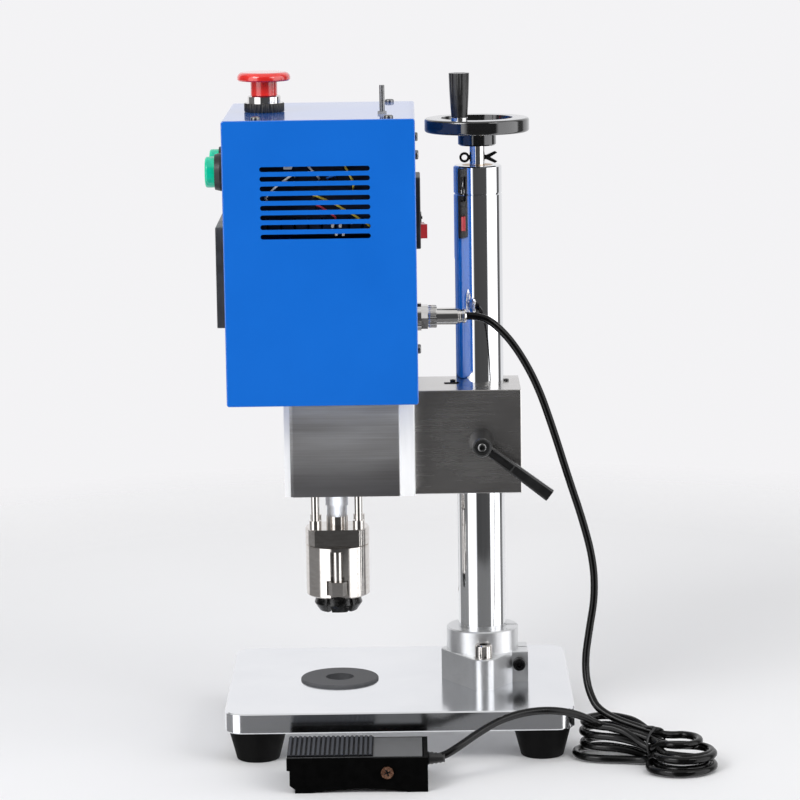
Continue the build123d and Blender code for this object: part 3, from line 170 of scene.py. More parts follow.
# Paint or plastic: a slight drift of tone, a fine skin and an optional clear coat
def coatFinish(name, dark, light, rough, scale=120, bump=0.08, coat=0.0, peel=900, ior=1.5, coatRough=0.06,
               coatIor=1.5):
    finish, tree, shader = startFinish(name)
    drift = grain(tree, scale)
    skin = grain(tree, peel, detail=2)
    tree.links.new(colourRamp(tree, drift, [(0.3, dark), (0.7, light)]), shader.inputs["Base Color"])
    tree.links.new(spread(tree, drift, 0.3, 0.7, *rough), shader.inputs["Roughness"])
    addBump(tree, shader, skin, bump, 0.0003)
    shader.inputs["IOR"].default_value = ior
    shader.inputs["Coat Weight"].default_value = coat
    shader.inputs["Coat Roughness"].default_value = coatRough
    shader.inputs["Coat IOR"].default_value = coatIor
    return finish


def grey(value, warm=0.0):
    return (value * (1 + warm), value, value * (1 - warm))


# A second tone where the factor is 1, over the finish's own colour
def secondTone(finish, factor, colour):
    tree = finish.node_tree
    shader = tree.nodes["Principled BSDF"]
    tone = addNode(tree, "ShaderNodeMix", data_type="RGBA")
    tone.inputs[7].default_value = (*colour, 1)
    tree.links.new(factor, tone.inputs[0])
    tree.links.new(shader.inputs["Base Color"].links[0].from_socket, tone.inputs[6])
    tree.links.new(tone.outputs[2], shader.inputs["Base Color"])
    return finish


def heightFactor(tree, fromLow, fromHigh, low, high):
    coords = addNode(tree, "ShaderNodeTexCoord")
    parts = addNode(tree, "ShaderNodeSeparateXYZ")
    tree.links.new(coords.outputs["Object"], parts.inputs["Vector"])
    return spread(tree, parts.outputs["Z"], fromLow, fromHigh, low, high)


# Locating pad: the recess in its middle is painted near-black as shade
padSettings = {"recess": 0.0108, "edge": 0.0006, "ring": (0.084, 0.085, 0.089), "hole": (0.002, 0.002, 0.003)}


def padFinish(name):
    finish = coatFinish(name, padSettings["ring"], [tone * 1.3 for tone in padSettings["ring"]], (0.5, 0.62), 60, 0.1,
                        ior=1.2)
    tree = finish.node_tree
    coords = addNode(tree, "ShaderNodeTexCoord")
    flat = addNode(tree, "ShaderNodeMapping")
    flat.inputs["Scale"].default_value = (1, 1, 0)
    distance = addNode(tree, "ShaderNodeVectorMath", operation="LENGTH")
    tree.links.new(coords.outputs["Object"], flat.inputs["Vector"])
    tree.links.new(flat.outputs["Vector"], distance.inputs[0])
    recess = padSettings["recess"]
    # painted shade: everything inside the recess radius is coloured near-black
    shadedRecess = spread(tree, distance.outputs["Value"], recess, recess + padSettings["edge"], 1, 0)
    return secondTone(finish, shadedRecess, padSettings["hole"])


# Ribbed rubber: painted shade darkens the valleys between the ribs to near-black, so the ribs' tops stand out paler as
# a painted highlight
ribSettings = {"top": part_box("pedal_pad")[1][2], "depth": 0.0009, "ribTopTone": (0.042, 0.045, 0.052),
               "valleyShade": (0.002, 0.002, 0.003)}


def ribFinish(name):
    ribTopTone = ribSettings["ribTopTone"]
    finish = coatFinish(name, ribTopTone, [tone * 1.5 for tone in ribTopTone], (0.5, 0.62), 200, 0.15, ior=1.2)
    top = ribSettings["top"]
    # painted shade: the valleys below the rib tops are coloured near-black
    shadedValleys = heightFactor(finish.node_tree, top - ribSettings["depth"], top - 0.0001, 1, 0)
    return secondTone(finish, shadedValleys, ribSettings["valleyShade"])


# Stop button's collar: chrome above, black plastic nut below
collarSettings = {"nutTop": 0.4621, "blend": 0.0002, "nut": (0.006, 0.006, 0.007)}


def collarFinish(name):
    finish = metalFinish(name, (0.70, 0.685, 0.67), (0.82, 0.81, 0.80), (0.05, 0.11), (120, (1, 1, 4)),
                         (700, (1, 1, 12)), 0.5, 0.03)
    tree = finish.node_tree
    shader = tree.nodes["Principled BSDF"]
    nutTop = collarSettings["nutTop"]
    chromed = heightFactor(tree, nutTop - collarSettings["blend"], nutTop, 0, 1)
    tree.links.new(chromed, shader.inputs["Metallic"])
    nut = heightFactor(tree, nutTop - collarSettings["blend"], nutTop, 1, 0)
    return secondTone(finish, nut, collarSettings["nut"])


# Spindle block: brushed face, with painted shade that darkens it towards its foot
def blockFinish(name):
    finish = metalFinish(name, grey(0.62, 0.02), grey(0.95, -0.01), (0.3, 0.4), (16, (1, 0.45, 2.2)),
                         (120, (1, 0.08, 9)), 0.36, 0.06, 0.85)
    low, high = (corner[2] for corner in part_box("spindle_block"))
    # painted shade: the colour runs to dark grey towards the block's foot
    foot = heightFactor(finish.node_tree, low + (high - low) * 0.1, low + (high - low) * 0.8, 0.86, 0)
    return secondTone(finish, foot, (0.12, 0.115, 0.12))


finishes = {
    "bluePaint": coatFinish("bluePaint", (0.0, 0.128, 0.585), (0.0, 0.144, 0.64), (0.3, 0.4), 9, 0.006, 1.0, 700,
                            1.3, 0.05, 1.75),
    "blockSteel": blockFinish("blockSteel"),
    "columnBlockSteel": metalFinish("columnBlockSteel", grey(0.5, 0.04), grey(0.68, 0.02), (0.22, 0.3),
                                    (13, (1, 0.6, 1.4)), (150, (1, 0.08, 9)), 0.26, 0.05),
    "milledPlate": metalFinish("milledPlate", grey(0.9, -0.005), grey(0.97, -0.005), (0.3, 0.4), (40, (3, 1, 0.2)),
                               (300, (6, 1, 0.1)), 0.5, 0.04, 0.0),
    "polishedTube": metalFinish("polishedTube", grey(0.80, -0.01), grey(0.86, -0.01), (0.035, 0.08), (60, (1, 1, 0.05)),
                                (500, (1, 1, 0.03)), 0.4, 0.01),
    "polishedTurned": metalFinish("polishedTurned", (0.70, 0.685, 0.67), (0.82, 0.81, 0.80), (0.05, 0.11),
                                  (120, (1, 1, 4)), (700, (1, 1, 12)), 0.5, 0.03),
    "nickelled": metalFinish("nickelled", (0.62, 0.585, 0.55), (0.76, 0.73, 0.70), (0.06, 0.12), (120, (1, 1, 4)),
                             (700, (1, 1, 12)), 0.5, 0.03),
    "satinAluminium": metalFinish("satinAluminium", grey(0.66, -0.01), grey(0.74, -0.01), (0.3, 0.36), (40, (1, 1, 1)),
                                  (300, (1, 1, 2)), 0.3, 0.003, 0.85),
    "stopCollar": collarFinish("stopCollar"),
    "zincPlate": metalFinish("zincPlate", (0.6, 0.63, 0.68), (0.68, 0.71, 0.76), (0.2, 0.26), (60, (1, 1, 1)),
                             (500, (1, 1, 2)), 0.4, 0.008),
    "turnedSteel": metalFinish("turnedSteel", grey(0.5), grey(0.74), (0.12, 0.24), (150, (1, 1, 5)),
                               (900, (1, 1, 12)), 0.5, 0.06),
    "darkSteel": metalFinish("darkSteel", grey(0.14), grey(0.3), (0.2, 0.34), (200, (1, 1, 3)),
                             (900, (1, 1, 8)), 0.5, 0.06),
    "blackSteel": metalFinish("blackSteel", grey(0.02), grey(0.08), (0.2, 0.36), (150, (1, 1, 1)),
                              (700, (1, 1, 1)), 0.5, 0.08),
    "platePolish": metalFinish("platePolish", (0.80, 0.815, 0.84), (0.86, 0.87, 0.89), (0.12, 0.17),
                               (14, (1, 1, 1)), (300, (10, 0.4, 1)), 0.3, 0.006),
    "bronze": metalFinish("bronze", (0.4, 0.24, 0.1), (0.65, 0.45, 0.22), (0.25, 0.4), (200, (1, 1, 1))),
    "copperPlate": metalFinish("copperPlate", (0.25, 0.10, 0.06), (0.75, 0.42, 0.28), (0.16, 0.34), (500, (1, 1, 1))),
    "glossBlack": coatFinish("glossBlack", grey(0.004), grey(0.009), (0.1, 0.18), 60, 0.012, 1.0, 500, 1.45, 0.03, 1.6),
    "leverBlack": coatFinish("leverBlack", grey(0.005), grey(0.012), (0.3, 0.4), 90, 0.05, 0.3, 900, 1.45, 0.15),
    # painted highlight: a lighter copy of leverBlack for the lever's lip and ribs; the extra gloss is real, the lighter
    # colour is painted
    "leverEdgeHighlight": coatFinish("leverEdgeHighlight", grey(0.02), grey(0.05), (0.2, 0.3), 90, 0.05, 0.6, 900, 1.6, 0.1),
    "mouldedBlack": coatFinish("mouldedBlack", grey(0.008), grey(0.018), (0.34, 0.46), 80, 0.1),
    "panelBlack": coatFinish("panelBlack", grey(0.035), grey(0.055), (0.3, 0.42), 80, 0.05),
    "gripBlack": coatFinish("gripBlack", grey(0.006), grey(0.016), (0.3, 0.4), 200, 0.12, 0.2, 1400, 1.45),
    "footRubber": coatFinish("footRubber", grey(0.002), grey(0.005), (0.6, 0.75), 120, 0.2, ior=1.2),
    "padGrey": padFinish("padGrey"),
    "stopRed": coatFinish("stopRed", (0.66, 0.012, 0.010), (0.82, 0.028, 0.02), (0.18, 0.26), 60, 0.015,
                          1.0, 700, 1.45),
    "rockerRed": coatFinish("rockerRed", (0.5, 0.02, 0.03), (0.68, 0.05, 0.06), (0.25, 0.35), 90, 0.02, 0.3),
    "lensGreen": coatFinish("lensGreen", (0.0, 0.55, 0.30), (0.002, 0.74, 0.42), (0.16, 0.24), 150, 0.03, 0.3),
    "motorPaint": coatFinish("motorPaint", (0.004, 0.008, 0.02), (0.01, 0.016, 0.035), (0.4, 0.55), 90, 0.15),
    "pedalPaint": coatFinish("pedalPaint", grey(0.001), grey(0.002), (0.5, 0.66), 150, 0.2, ior=1.1),
    "pedalTopPaint": coatFinish("pedalTopPaint", grey(0.095, -0.02), grey(0.125, -0.02), (0.45, 0.56), 150, 0.2,
                                ior=1.3),
    "pedalRubber": ribFinish("pedalRubber"),
    "cordJacket": coatFinish("cordJacket", grey(0.001), grey(0.002), (0.24, 0.34), 300, 0.03, 0.3, 900, 1.2, 0.08),
    "wireYellow": coatFinish("wireYellow", (0.55, 0.4, 0.03), (0.75, 0.6, 0.08), (0.3, 0.4), 400),
    "wireRed": coatFinish("wireRed", (0.45, 0.02, 0.04), (0.6, 0.04, 0.07), (0.3, 0.4), 400),
    "wireWhite": coatFinish("wireWhite", (0.72, 0.72, 0.7), (0.86, 0.86, 0.84), (0.3, 0.4), 400),
    "wireBlue": coatFinish("wireBlue", (0.01, 0.1, 0.4), (0.02, 0.16, 0.55), (0.3, 0.4), 400),
    "boardDark": coatFinish("boardDark", (0.002, 0.006, 0.03), (0.004, 0.012, 0.05), (0.45, 0.6), 300),
    "darkGlass": coatFinish("darkGlass", (0.006, 0.009, 0.008), (0.012, 0.017, 0.015), (0.04, 0.07), 40, 0.0,
                            1.0, 300, 1.5, 0.02),
}
print(len(finishes), "finishes made")


# Mesh helpers for the pieces below
def nurbsLine(name, points, bevel):
    data = bpy.data.curves.new(name, "CURVE")
    data.dimensions = "3D"
    spline = data.splines.new("NURBS")
    spline.points.add(len(points) - 1)
    for controlPoint, place in zip(spline.points, points):
        controlPoint.co = (*place, 1)
    spline.order_u = 3
    spline.use_endpoint_u = True
    data.resolution_u = 8
    data.bevel_depth = bevel
    data.bevel_resolution = 5
    data.use_fill_caps = bevel > 0
    return data


def meshFromCurve(name, data):
    holder = bpy.data.objects.new(name + "Line", data)
    bpy.context.scene.collection.objects.link(holder)
    bpy.context.view_layer.update()
    mesh = bpy.data.meshes.new_from_object(holder)
    bpy.data.objects.remove(holder)
    return mesh


def meshFromBuilder(name, builder):
    mesh = bpy.data.meshes.new(name)
    bmesh.ops.recalc_face_normals(builder, faces=builder.faces)
    builder.to_mesh(mesh)
    builder.free()
    return mesh


# A turned form: profile of (radius, height), with teeth on the rings whose third value is 1
def turnInto(builder, profile, origin, axis, segments=64, teeth=0, bite=0.0):
    turn = Vector(axis).to_track_quat("Z", "Y")
    rings = []
    for radius, height, *toothed in profile:
        ring = []
        for step in range(segments):
            angle = 2 * math.pi * step / segments
            reach = radius - (bite * (0.5 - 0.5 * math.cos(teeth * angle)) if toothed else 0)
            point = turn @ Vector((reach * math.cos(angle), reach * math.sin(angle), height))
            ring.append(builder.verts.new(Vector(origin) + point))
        rings.append(ring)
    for lower, upper in zip(rings, rings[1:]):
        for step in range(segments):
            following = (step + 1) % segments
            builder.faces.new((lower[step], lower[following], upper[following], upper[step]))
    return rings


def closedTurn(builder, profile, *args, **settings):
    rings = turnInto(builder, profile, *args, **settings)
    builder.faces.new(list(reversed(rings[0])))
    builder.faces.new(rings[-1])


def ringTurn(builder, profile, *args, **settings):
    turnInto(builder, list(profile) + [profile[0]], *args, **settings)
    bmesh.ops.remove_doubles(builder, verts=builder.verts, dist=1e-6)


# A block with softened edges, from its lowest to its highest corner, turned about its middle
def blockInto(builder, low, high, soften=0.0003, turn=None):
    middle = (Vector(low) + Vector(high)) / 2
    size = Vector(high) - Vector(low)
    place = Matrix.Translation(middle) @ (turn.to_4x4() if turn else Matrix.Identity(4)) @ Matrix.Diagonal((*size, 1))
    made = bmesh.ops.create_cube(builder, size=1, matrix=place)
    edges = {edge for vertex in made["verts"] for edge in vertex.link_edges}
    bmesh.ops.bevel(builder, geom=list(edges), offset=soften, segments=2, affect="EDGES", profile=0.6)


def addPiece(name, mesh, finishName, body=None, smooth=True):
    piece = bpy.data.objects.new(name, mesh)
    bpy.context.scene.collection.objects.link(piece)
    mesh.materials.clear()
    mesh.materials.append(finishes[finishName])
    for face in mesh.polygons:
        face.use_smooth = smooth
    if body:
        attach(piece, body)
    return piece


# Keeps flats flat on a smooth mesh
def sharpen(piece, degrees=35):
    modifier = piece.modifiers.new("edges", "EDGE_SPLIT")
    modifier.split_angle = math.radians(degrees)
    return piece


# Foot pedal's lead: the same points as the route of the model, in metres
leadSettings = {
    "radius": 0.003,
    "fromHead": [
        (0.045, 0.104, 0.2982), (0.045, 0.114, 0.2982), (0.0455, 0.126, 0.292), (0.046, 0.142, 0.274),
        (0.047, 0.158, 0.245), (0.048, 0.170, 0.210), (0.047, 0.182, 0.170), (0.046, 0.193, 0.136),
        (0.047, 0.201, 0.104), (0.050, 0.202, 0.076), (0.056, 0.197, 0.050), (0.064, 0.193, 0.026),
        (0.074, 0.195, 0.006), (0.086, 0.204, -0.010),
    ],
    "toPedal": [
        (0.102, 0.202, -0.015), (0.110, 0.189, -0.005), (0.119, 0.170, 0.002), (0.126, 0.149, 0.0035),
        (0.135, 0.129, 0.001), (0.147, 0.110, -0.006), (0.159, 0.093, -0.015), (0.165, 0.079, -0.022),
        (0.165, 0.069, -0.022),
    ],
    # hank: along it, across it and above the floor, millimetres from its left end
    "hankStart": (0.082, 0.188),
    "hankAngle": 59.6,
    "waist": 66,
    # where each strand passes the tie: (across, height) going out, then coming back
    "passes": [
        ((4.0, 21.5), (-10.5, 11.0)), ((10.5, 11.0), (-10.5, 4.0)), ((10.5, 4.0), (-3.5, 4.0)),
        ((3.5, 4.0), (-3.5, 11.5)), ((3.5, 13.0), (-4.0, 20.0)),
    ],
    # right lobes: (reach, half width, height, fan in degrees); left lobes between them
    "rightLobes": [(100, 17, 19, 8), (116, 24, 12, -14), (119, 27, 3.6, -22), (113, 20, 4.5, -18),
                   (112, 20, 12.5, -4)],
    "leftLobes": [(3, 17, 26, -6), (1, 20, 3.6, 6), (6, 17, 11, 2), (3, 18, 19, -4)],
}


def hankPoint(along, across, height):
    angle = math.radians(leadSettings["hankAngle"])
    x = leadSettings["hankStart"][0] + (along * math.cos(angle) - across * math.sin(angle)) / 1000
    y = leadSettings["hankStart"][1] + (along * math.sin(angle) + across * math.cos(angle)) / 1000
    return (x, y, floorHeight + height / 1000)


# Control points round one lobe of the hank, between two passes through the tie
def lobePoints(reach, halfWidth, height, fan, outward, begin, end):
    waist = leadSettings["waist"]
    centre = reach - outward * halfWidth
    bends = [((centre + waist) / 2, 0.72), (centre, 1.04)]
    points = [(along, begin * share * halfWidth) for along, share in bends]
    for degrees in (45, 90, 135):
        turn = math.radians(degrees)
        points.append((centre + outward * 1.08 * halfWidth * math.sin(turn), begin * 1.08 * halfWidth * math.cos(turn)))
    points += [(along, end * share * halfWidth) for along, share in reversed(bends)]
    lean = math.radians(fan)
    fanned = []
    for along, across in points:
        reachOut = along - waist
        fanned.append(hankPoint(waist + reachOut * math.cos(lean) - across * math.sin(lean),
                                reachOut * math.sin(lean) + across * math.cos(lean), height))
    return fanned


def leadRoute():
    route = list(leadSettings["fromHead"])
    waist = leadSettings["waist"]
    for turn, (going, coming) in enumerate(leadSettings["passes"]):
        route.append(hankPoint(waist, *going))
        route += lobePoints(*leadSettings["rightLobes"][turn], 1, 1, -1)
        route.append(hankPoint(waist, *coming))
        if turn < len(leadSettings["leftLobes"]):
            route += lobePoints(*leadSettings["leftLobes"][turn], -1, -1, 1)
    return route + leadSettings["toPedal"]


# Wire tie round the waist of the hank, its ends twisted together on top
tieSettings = {"halfWidth": 14.6, "low": 0.8, "high": 26.5, "wire": 0.0009, "twist": 7, "tail": 11}


def makeTie():
    settings = tieSettings
    waist = leadSettings["waist"]
    middle = (settings["low"] + settings["high"]) / 2
    tall = (settings["high"] - settings["low"]) / 2
    loop = []
    for step in range(17):
        angle = math.radians(100 + 340 * step / 16)
        loop.append(hankPoint(waist + 1.2 * math.sin(2 * angle), settings["halfWidth"] * math.cos(angle),
                              middle + tall * math.sin(angle)))
    ends = []
    for phase in (0, math.pi):
        tail = []
        for step in range(12):
            share = step / 11
            angle = phase + settings["twist"] * share
            tail.append(hankPoint(waist - 2 - settings["tail"] * share + 0.9 * math.cos(angle),
                                  settings["tail"] * share * 0.35 + 0.9 * math.sin(angle),
                                  settings["high"] + 0.8 - 1.5 * share))
        ends.append(tail)
    route = list(reversed(ends[0])) + loop + ends[1]
    tie = addPiece("wireTie", meshFromCurve("wireTie", nurbsLine("wireTie", route, settings["wire"])), "mouldedBlack",
                   "stand")
    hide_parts("cord_tie")
    return tie


def makeLead(tie):
    route = leadRoute()
    line = meshFromCurve("leadPath", nurbsLine("leadPath", route, 0))
    lead = addPiece("pedalLead", meshFromCurve("lead", nurbsLine("lead", route, leadSettings["radius"])), "cordJacket")
    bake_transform(lead)
    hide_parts("cord_upper", "cord_lower", "cord_hank")


makeLead(makeTie())
print("lead laid")

# Finish of each node whose form comes from the model as it is
nodeFinishes = {
    "base_plate": "platePolish", "rubber_feet": "footRubber", "foot_screws": "zincPlate", "locating_pad": "padGrey",
    "column_foot": "satinAluminium", "foot_cap_screws": "nickelled", "foot_clamp_screw": "blackSteel",
    "column_tube": "polishedTube", "column_cap": "polishedTube", "screw_bush": "bronze", "lead_screw": "polishedTurned",
    "hand_wheel": "glossBlack", "cotter_pin": "blackSteel", "grip_spindle": "turnedSteel", "wheel_grip": "gripBlack",
    "column_block": "columnBlockSteel", "block_screws": "blackSteel", "lift_nut": "bronze",
    "spindle_block": "blockSteel", "front_plate": "milledPlate", "rear_plate": "milledPlate",
    "clamp_stud": "leverBlack", "clamp_lever": "leverBlack",
    "housing_shell": "bluePaint", "side_cover_near": "bluePaint", "side_cover_far": "bluePaint",
    "housing_screws": "darkSteel", "roof_stud": "darkSteel", "control_bezel": "panelBlack",
    "button_bezels": "mouldedBlack", "start_lens_near": "lensGreen", "start_lens_far": "lensGreen",
    "estop_collar": "stopCollar", "estop_stem": "stopRed", "estop_mushroom": "stopRed",
    "power_inlet": "mouldedBlack", "power_rocker": "rockerRed", "connector_socket": "polishedTurned",
    "connector_plug": "polishedTurned", "drive_motor": "motorPaint", "jaw_carrier": "nickelled",
    "spindle_nut": "zincPlate", "crimp_flange": "nickelled", "guide_posts": "nickelled",
    "crimp_sleeve": "nickelled", "stop_screw": "nickelled", "pedal_base": "pedalPaint",
    "pedal_pivot": "copperPlate", "pedal_treadle": "pedalTopPaint", "pedal_pad": "pedalRubber",
}
for number in range(1, 7):
    nodeFinishes[f"jaw_{number}"] = "blackSteel"


def finishNode(name, finishName):
    node = nodes[name]
    node.data.materials.clear()
    node.data.materials.append(finishes[finishName])


for name, finishName in nodeFinishes.items():
    finishNode(name, finishName)
print("model nodes finished")

# Wiring seen through the near vents, and the dark board that it runs to
wiringSettings = {
    "radius": 0.0008,
    # how far each end runs in, and how much it drops on the way
    "inward": 0.035, "drop": 0.0056,
    # just inside the vents: places (y, z) that each wire passes
    "plane": 0.0795,
    "wires": {
        "wireAcross": ("wireYellow", [(-0.0126, 0.3977), (-0.0051, 0.3946), (0.0042, 0.3904), (0.0088, 0.3874),
                                      (0.0192, 0.3814), (0.0307, 0.3731)]),
        "wireDown": ("wireYellow", [(0.0123, 0.4195), (0.0167, 0.4101), (0.0195, 0.4066), (0.0184, 0.4031)]),
        "wireSignal": ("wireRed", [(-0.0098, 0.3900), (-0.0052, 0.3876), (0.0029, 0.3817), (0.0046, 0.3799)]),
        "wireLoop": ("wireWhite", [(-0.0156, 0.4199), (-0.0134, 0.4169), (-0.0082, 0.4116)]),
        "wirePale": ("wireWhite", [(-0.0268, 0.4136), (-0.0410, 0.4039), (-0.0487, 0.3953)]),
        "wireEarth": ("wireBlue", [(-0.0013, 0.4103), (0.0046, 0.4122)]),
    },
    "boardLow": (0.0425, -0.066, 0.362), "boardHigh": (0.0445, 0.040, 0.436),
    # plugs and ferrules: lowest and highest corners
    "plugs": [((0.060, -0.0343, 0.4172), (0.081, -0.0279, 0.4208)), ((0.070, 0.0012, 0.3722), (0.0805, 0.0034, 0.3746)),
              ((0.070, 0.0070, 0.3722), (0.0805, 0.0092, 0.3746)), ((0.070, 0.0040, 0.3658), (0.0805, 0.0060, 0.3682)),
              ((0.070, 0.0093, 0.3657), (0.0805, 0.0113, 0.3681)), ((0.070, 0.0160, 0.3748), (0.0805, 0.0176, 0.3764))],
    # screw terminals along both edges of the board
    "terminals": 9, "firstTerminal": 0.008, "terminalPitch": 0.0105, "terminalLength": 0.0085,
    "terminalTall": 0.010, "terminalProud": 0.009, "lowRow": 0.004, "highRow": -0.016,
}


def wireRoute(places):
    plane, inward, drop = (wiringSettings[key] for key in ("plane", "inward", "drop"))
    seen = [(plane, y, z) for y, z in places]
    ends = [[(plane - inward * share, y, z - drop * share) for share in (1, 0.5, 0.1)]
            for y, z in (places[0], places[-1])]
    return ends[0] + seen + list(reversed(ends[1]))


def makeWiring():
    for name, (finishName, places) in wiringSettings["wires"].items():
        wire = meshFromCurve(name, nurbsLine(name, wireRoute(places), wiringSettings["radius"]))
        addPiece(name, wire, finishName, "head")
    builder = bmesh.new()
    settings = wiringSettings
    low, high = settings["boardLow"], settings["boardHigh"]
    blockInto(builder, low, high, 0.0004)
    for place in range(settings["terminals"]):
        start = low[1] + settings["firstTerminal"] + place * settings["terminalPitch"]
        end = start + settings["terminalLength"]
        front = high[0] + settings["terminalProud"]
        for foot in (low[2] + settings["lowRow"], high[2] + settings["highRow"]):
            blockInto(builder, (high[0], start, foot), (front, end, foot + settings["terminalTall"]), 0.0005)
    addPiece("terminalBoard", meshFromBuilder("terminalBoard", builder), "boardDark", "head", False)
    builder = bmesh.new()
    for plugLow, plugHigh in wiringSettings["plugs"]:
        blockInto(builder, plugLow, plugHigh, 0.0004)
    addPiece("wirePlugs", meshFromBuilder("wirePlugs", builder), "wireWhite", "head", False)


makeWiring()
print("wiring run")

# Emergency stop: knurled nut on the roof
stopSettings = {
    "axis": (0, -0.0512, 0.4551), "nut": 0.0157, "nutHeight": 0.0070, "teeth": 32, "bite": 0.0006, "bore": 0.0148,
}


def makeStopNut():
    settings = stopSettings
    builder = bmesh.new()
    top = settings["nutHeight"]
    outer = settings["nut"]
    ringTurn(builder, [(settings["bore"], 0.0001), (outer - 0.0006, 0.0001), (outer, 0.0006, 1),
                       (outer, top - 0.0006, 1), (outer - 0.0006, top), (settings["bore"], top)],
             settings["axis"], (0, 0, 1), 216, settings["teeth"], settings["bite"])
    sharpen(addPiece("stopNut", meshFromBuilder("stopNut", builder), "mouldedBlack", "head"), 50)


makeStopNut()

# Lever: lip round the hub's top, rib frame along the arm and the socket screw in the hub
leverSettings = {
    "place": (0.0426, 0.1145, 0.1983), "angle": -37.3, "armTop": 0.0187, "hubTop": 0.0257,
    "hub": 0.0072, "screw": 0.0033, "socket": 0.0017, "screwTop": 0.0687,
    # rib frame on the arm: where it starts and ends, how far it stands off the middle, half its thickness
    "ribStart": 0.0085, "ribEnd": 0.0300, "ribOffset": 0.0029, "ribHalf": 0.0005, "ribTall": 0.0008,
    "endStart": 0.0292, "endEnd": 0.0304, "endHalf": 0.0034,
}


def makeLeverTrim():
    settings = leverSettings
    builder = bmesh.new()
    top = settings["hubTop"]
    hub = settings["hub"]
    ringTurn(builder, [(hub - 0.0013, top - 0.0008), (hub + 0.0002, top - 0.0010), (hub + 0.0003, top - 0.0002),
                       (hub - 0.0002, top + 0.0005), (hub - 0.0010, top + 0.0005), (hub - 0.0014, top - 0.0001)],
             (0, 0, 0), (0, 0, 1), 64)
    low, high = settings["armTop"] - settings["ribTall"], settings["armTop"] + settings["ribTall"]
    half = settings["ribHalf"]
    for side in (-1, 1):
        edge = side * settings["ribOffset"]
        blockInto(builder, (settings["ribStart"], edge - half, low), (settings["ribEnd"], edge + half, high), 0.0003)
    blockInto(builder, (settings["endStart"], -settings["endHalf"], low),
              (settings["endEnd"], settings["endHalf"], high), 0.0003)
    angle = math.radians(settings["angle"])
    along = Vector((0, math.cos(angle), math.sin(angle)))
    outward = Vector((1, 0, 0))
    across = outward.cross(along)
    turn = Matrix((along, across, outward)).transposed().to_4x4()
    bmesh.ops.transform(builder, matrix=Matrix.Translation(settings["place"]) @ turn, verts=builder.verts)
    # the lip and ribs take the lighter copy of the lever's black as a painted highlight
    sharpen(addPiece("leverTrim", meshFromBuilder("leverTrim", builder), "leverEdgeHighlight", "lever"), 40)


# Socket screw that holds the lever on its stud
def makeLeverScrew():
    settings = leverSettings
    place = (settings["screwTop"], settings["place"][1], settings["place"][2])
    builder = bmesh.new()
    ringTurn(builder, [(settings["socket"], 0), (settings["screw"] - 0.0004, 0), (settings["screw"], -0.0004),
                       (settings["screw"] - 0.0001, -0.0010), (settings["socket"], -0.0010)], place, (1, 0, 0), 48)
    sharpen(addPiece("leverScrew", meshFromBuilder("leverScrew", builder), "darkSteel", "clamp"), 50)
    # painted shade: a near-black hex plug sits in the screw's socket in place of its shaded hollow
    builder = bmesh.new()
    closedTurn(builder, [(settings["socket"] + 0.0002, -0.0006), (settings["socket"] + 0.0002, -0.0002)], place,
               (1, 0, 0), 6)
    addPiece("leverSocketShade", meshFromBuilder("leverSocketShade", builder), "blackSteel", "clamp", False)


makeLeverTrim()
makeLeverScrew()

# Cross recesses in the cover screws and the pedal's pivot screw, as black crosses just proud of the heads: painted
# shade
crossSettings = {
    "arm": 0.0019, "width": 0.0006, "depth": 0.0006, "proud": 0.00004,
    "head": 0.0024,
    "roof": [(x, y) for x in (-0.080, 0.080) for y in (-0.055, 0.046)], "roofHeight": 0.4551,
    "rear": [(x, z) for x in (-0.080, 0.080) for z in (0.278, 0.427)], "rearFace": 0.066,
    "pivot": (0.0385, -0.0255), "pivotArm": 0.0027, "pivotHalf": 0.00045, "pivotProud": 0.00005, "pivotTurn": 28,
}


def makeCrosses():
    settings = crossSettings
    arm, width, depth, head, proud = (settings[key] for key in ("arm", "width", "depth", "head", "proud"))
    builder = bmesh.new()
    for x, y in settings["roof"]:
        top = settings["roofHeight"] + head
        for reachX, reachY in ((arm, width / 2), (width / 2, arm)):
            blockInto(builder, (x - reachX, y - reachY, top - depth), (x + reachX, y + reachY, top + proud), 0.0001)
    for x, z in settings["rear"]:
        face = settings["rearFace"] + head
        for reachX, reachZ in ((arm, width / 2), (width / 2, arm)):
            blockInto(builder, (x - reachX, face - depth, z - reachZ), (x + reachX, face + proud, z + reachZ), 0.0001)
    # painted shade: the cover screws' recesses are black crosses, not hollows
    addPiece("screwRecessShade", meshFromBuilder("screwRecessShade", builder), "blackSteel", "head", False)
    builder = bmesh.new()
    y, z = settings["pivot"]
    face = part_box("pedal_pivot")[1][0]
    long, short, front = settings["pivotArm"], settings["pivotHalf"], face + settings["pivotProud"]
    for sizeY, sizeZ in ((long, short), (short, long)):
        blockInto(builder, (face - depth, y - sizeY, z - sizeZ), (front, y + sizeY, z + sizeZ), 0.0001,
                  Matrix.Rotation(math.radians(settings["pivotTurn"]), 3, "X"))
    # painted shade: the pivot screw's recess is a black cross, not a hollow
    addPiece("pivotRecessShade", meshFromBuilder("pivotRecessShade", builder), "blackSteel", "stand", False)


makeCrosses()

# Mains inlet: three flat pins, the fuse drawer and its pull; and the glass of the panel's window
inletSettings = {
    "x": 0.024, "socketZ": 0.390, "pinBack": 0.0530, "pinLength": 0.0125, "pinHalf": (0.001, 0.002),
    "pins": [(-0.007, -0.0025), (0.007, -0.0025), (0.0, 0.0035)],
    "drawerLow": (0.0135, 0.0693, 0.3700), "drawerHigh": (0.0345, 0.0702, 0.3765),
    "pullLow": (0.020, 0.0701, 0.3722), "pullHigh": (0.028, 0.0710, 0.3738),
}
windowSettings = {"middle": 0.332, "halfWidth": 0.0458, "halfHeight": 0.0228, "front": -0.0873, "back": -0.0866}


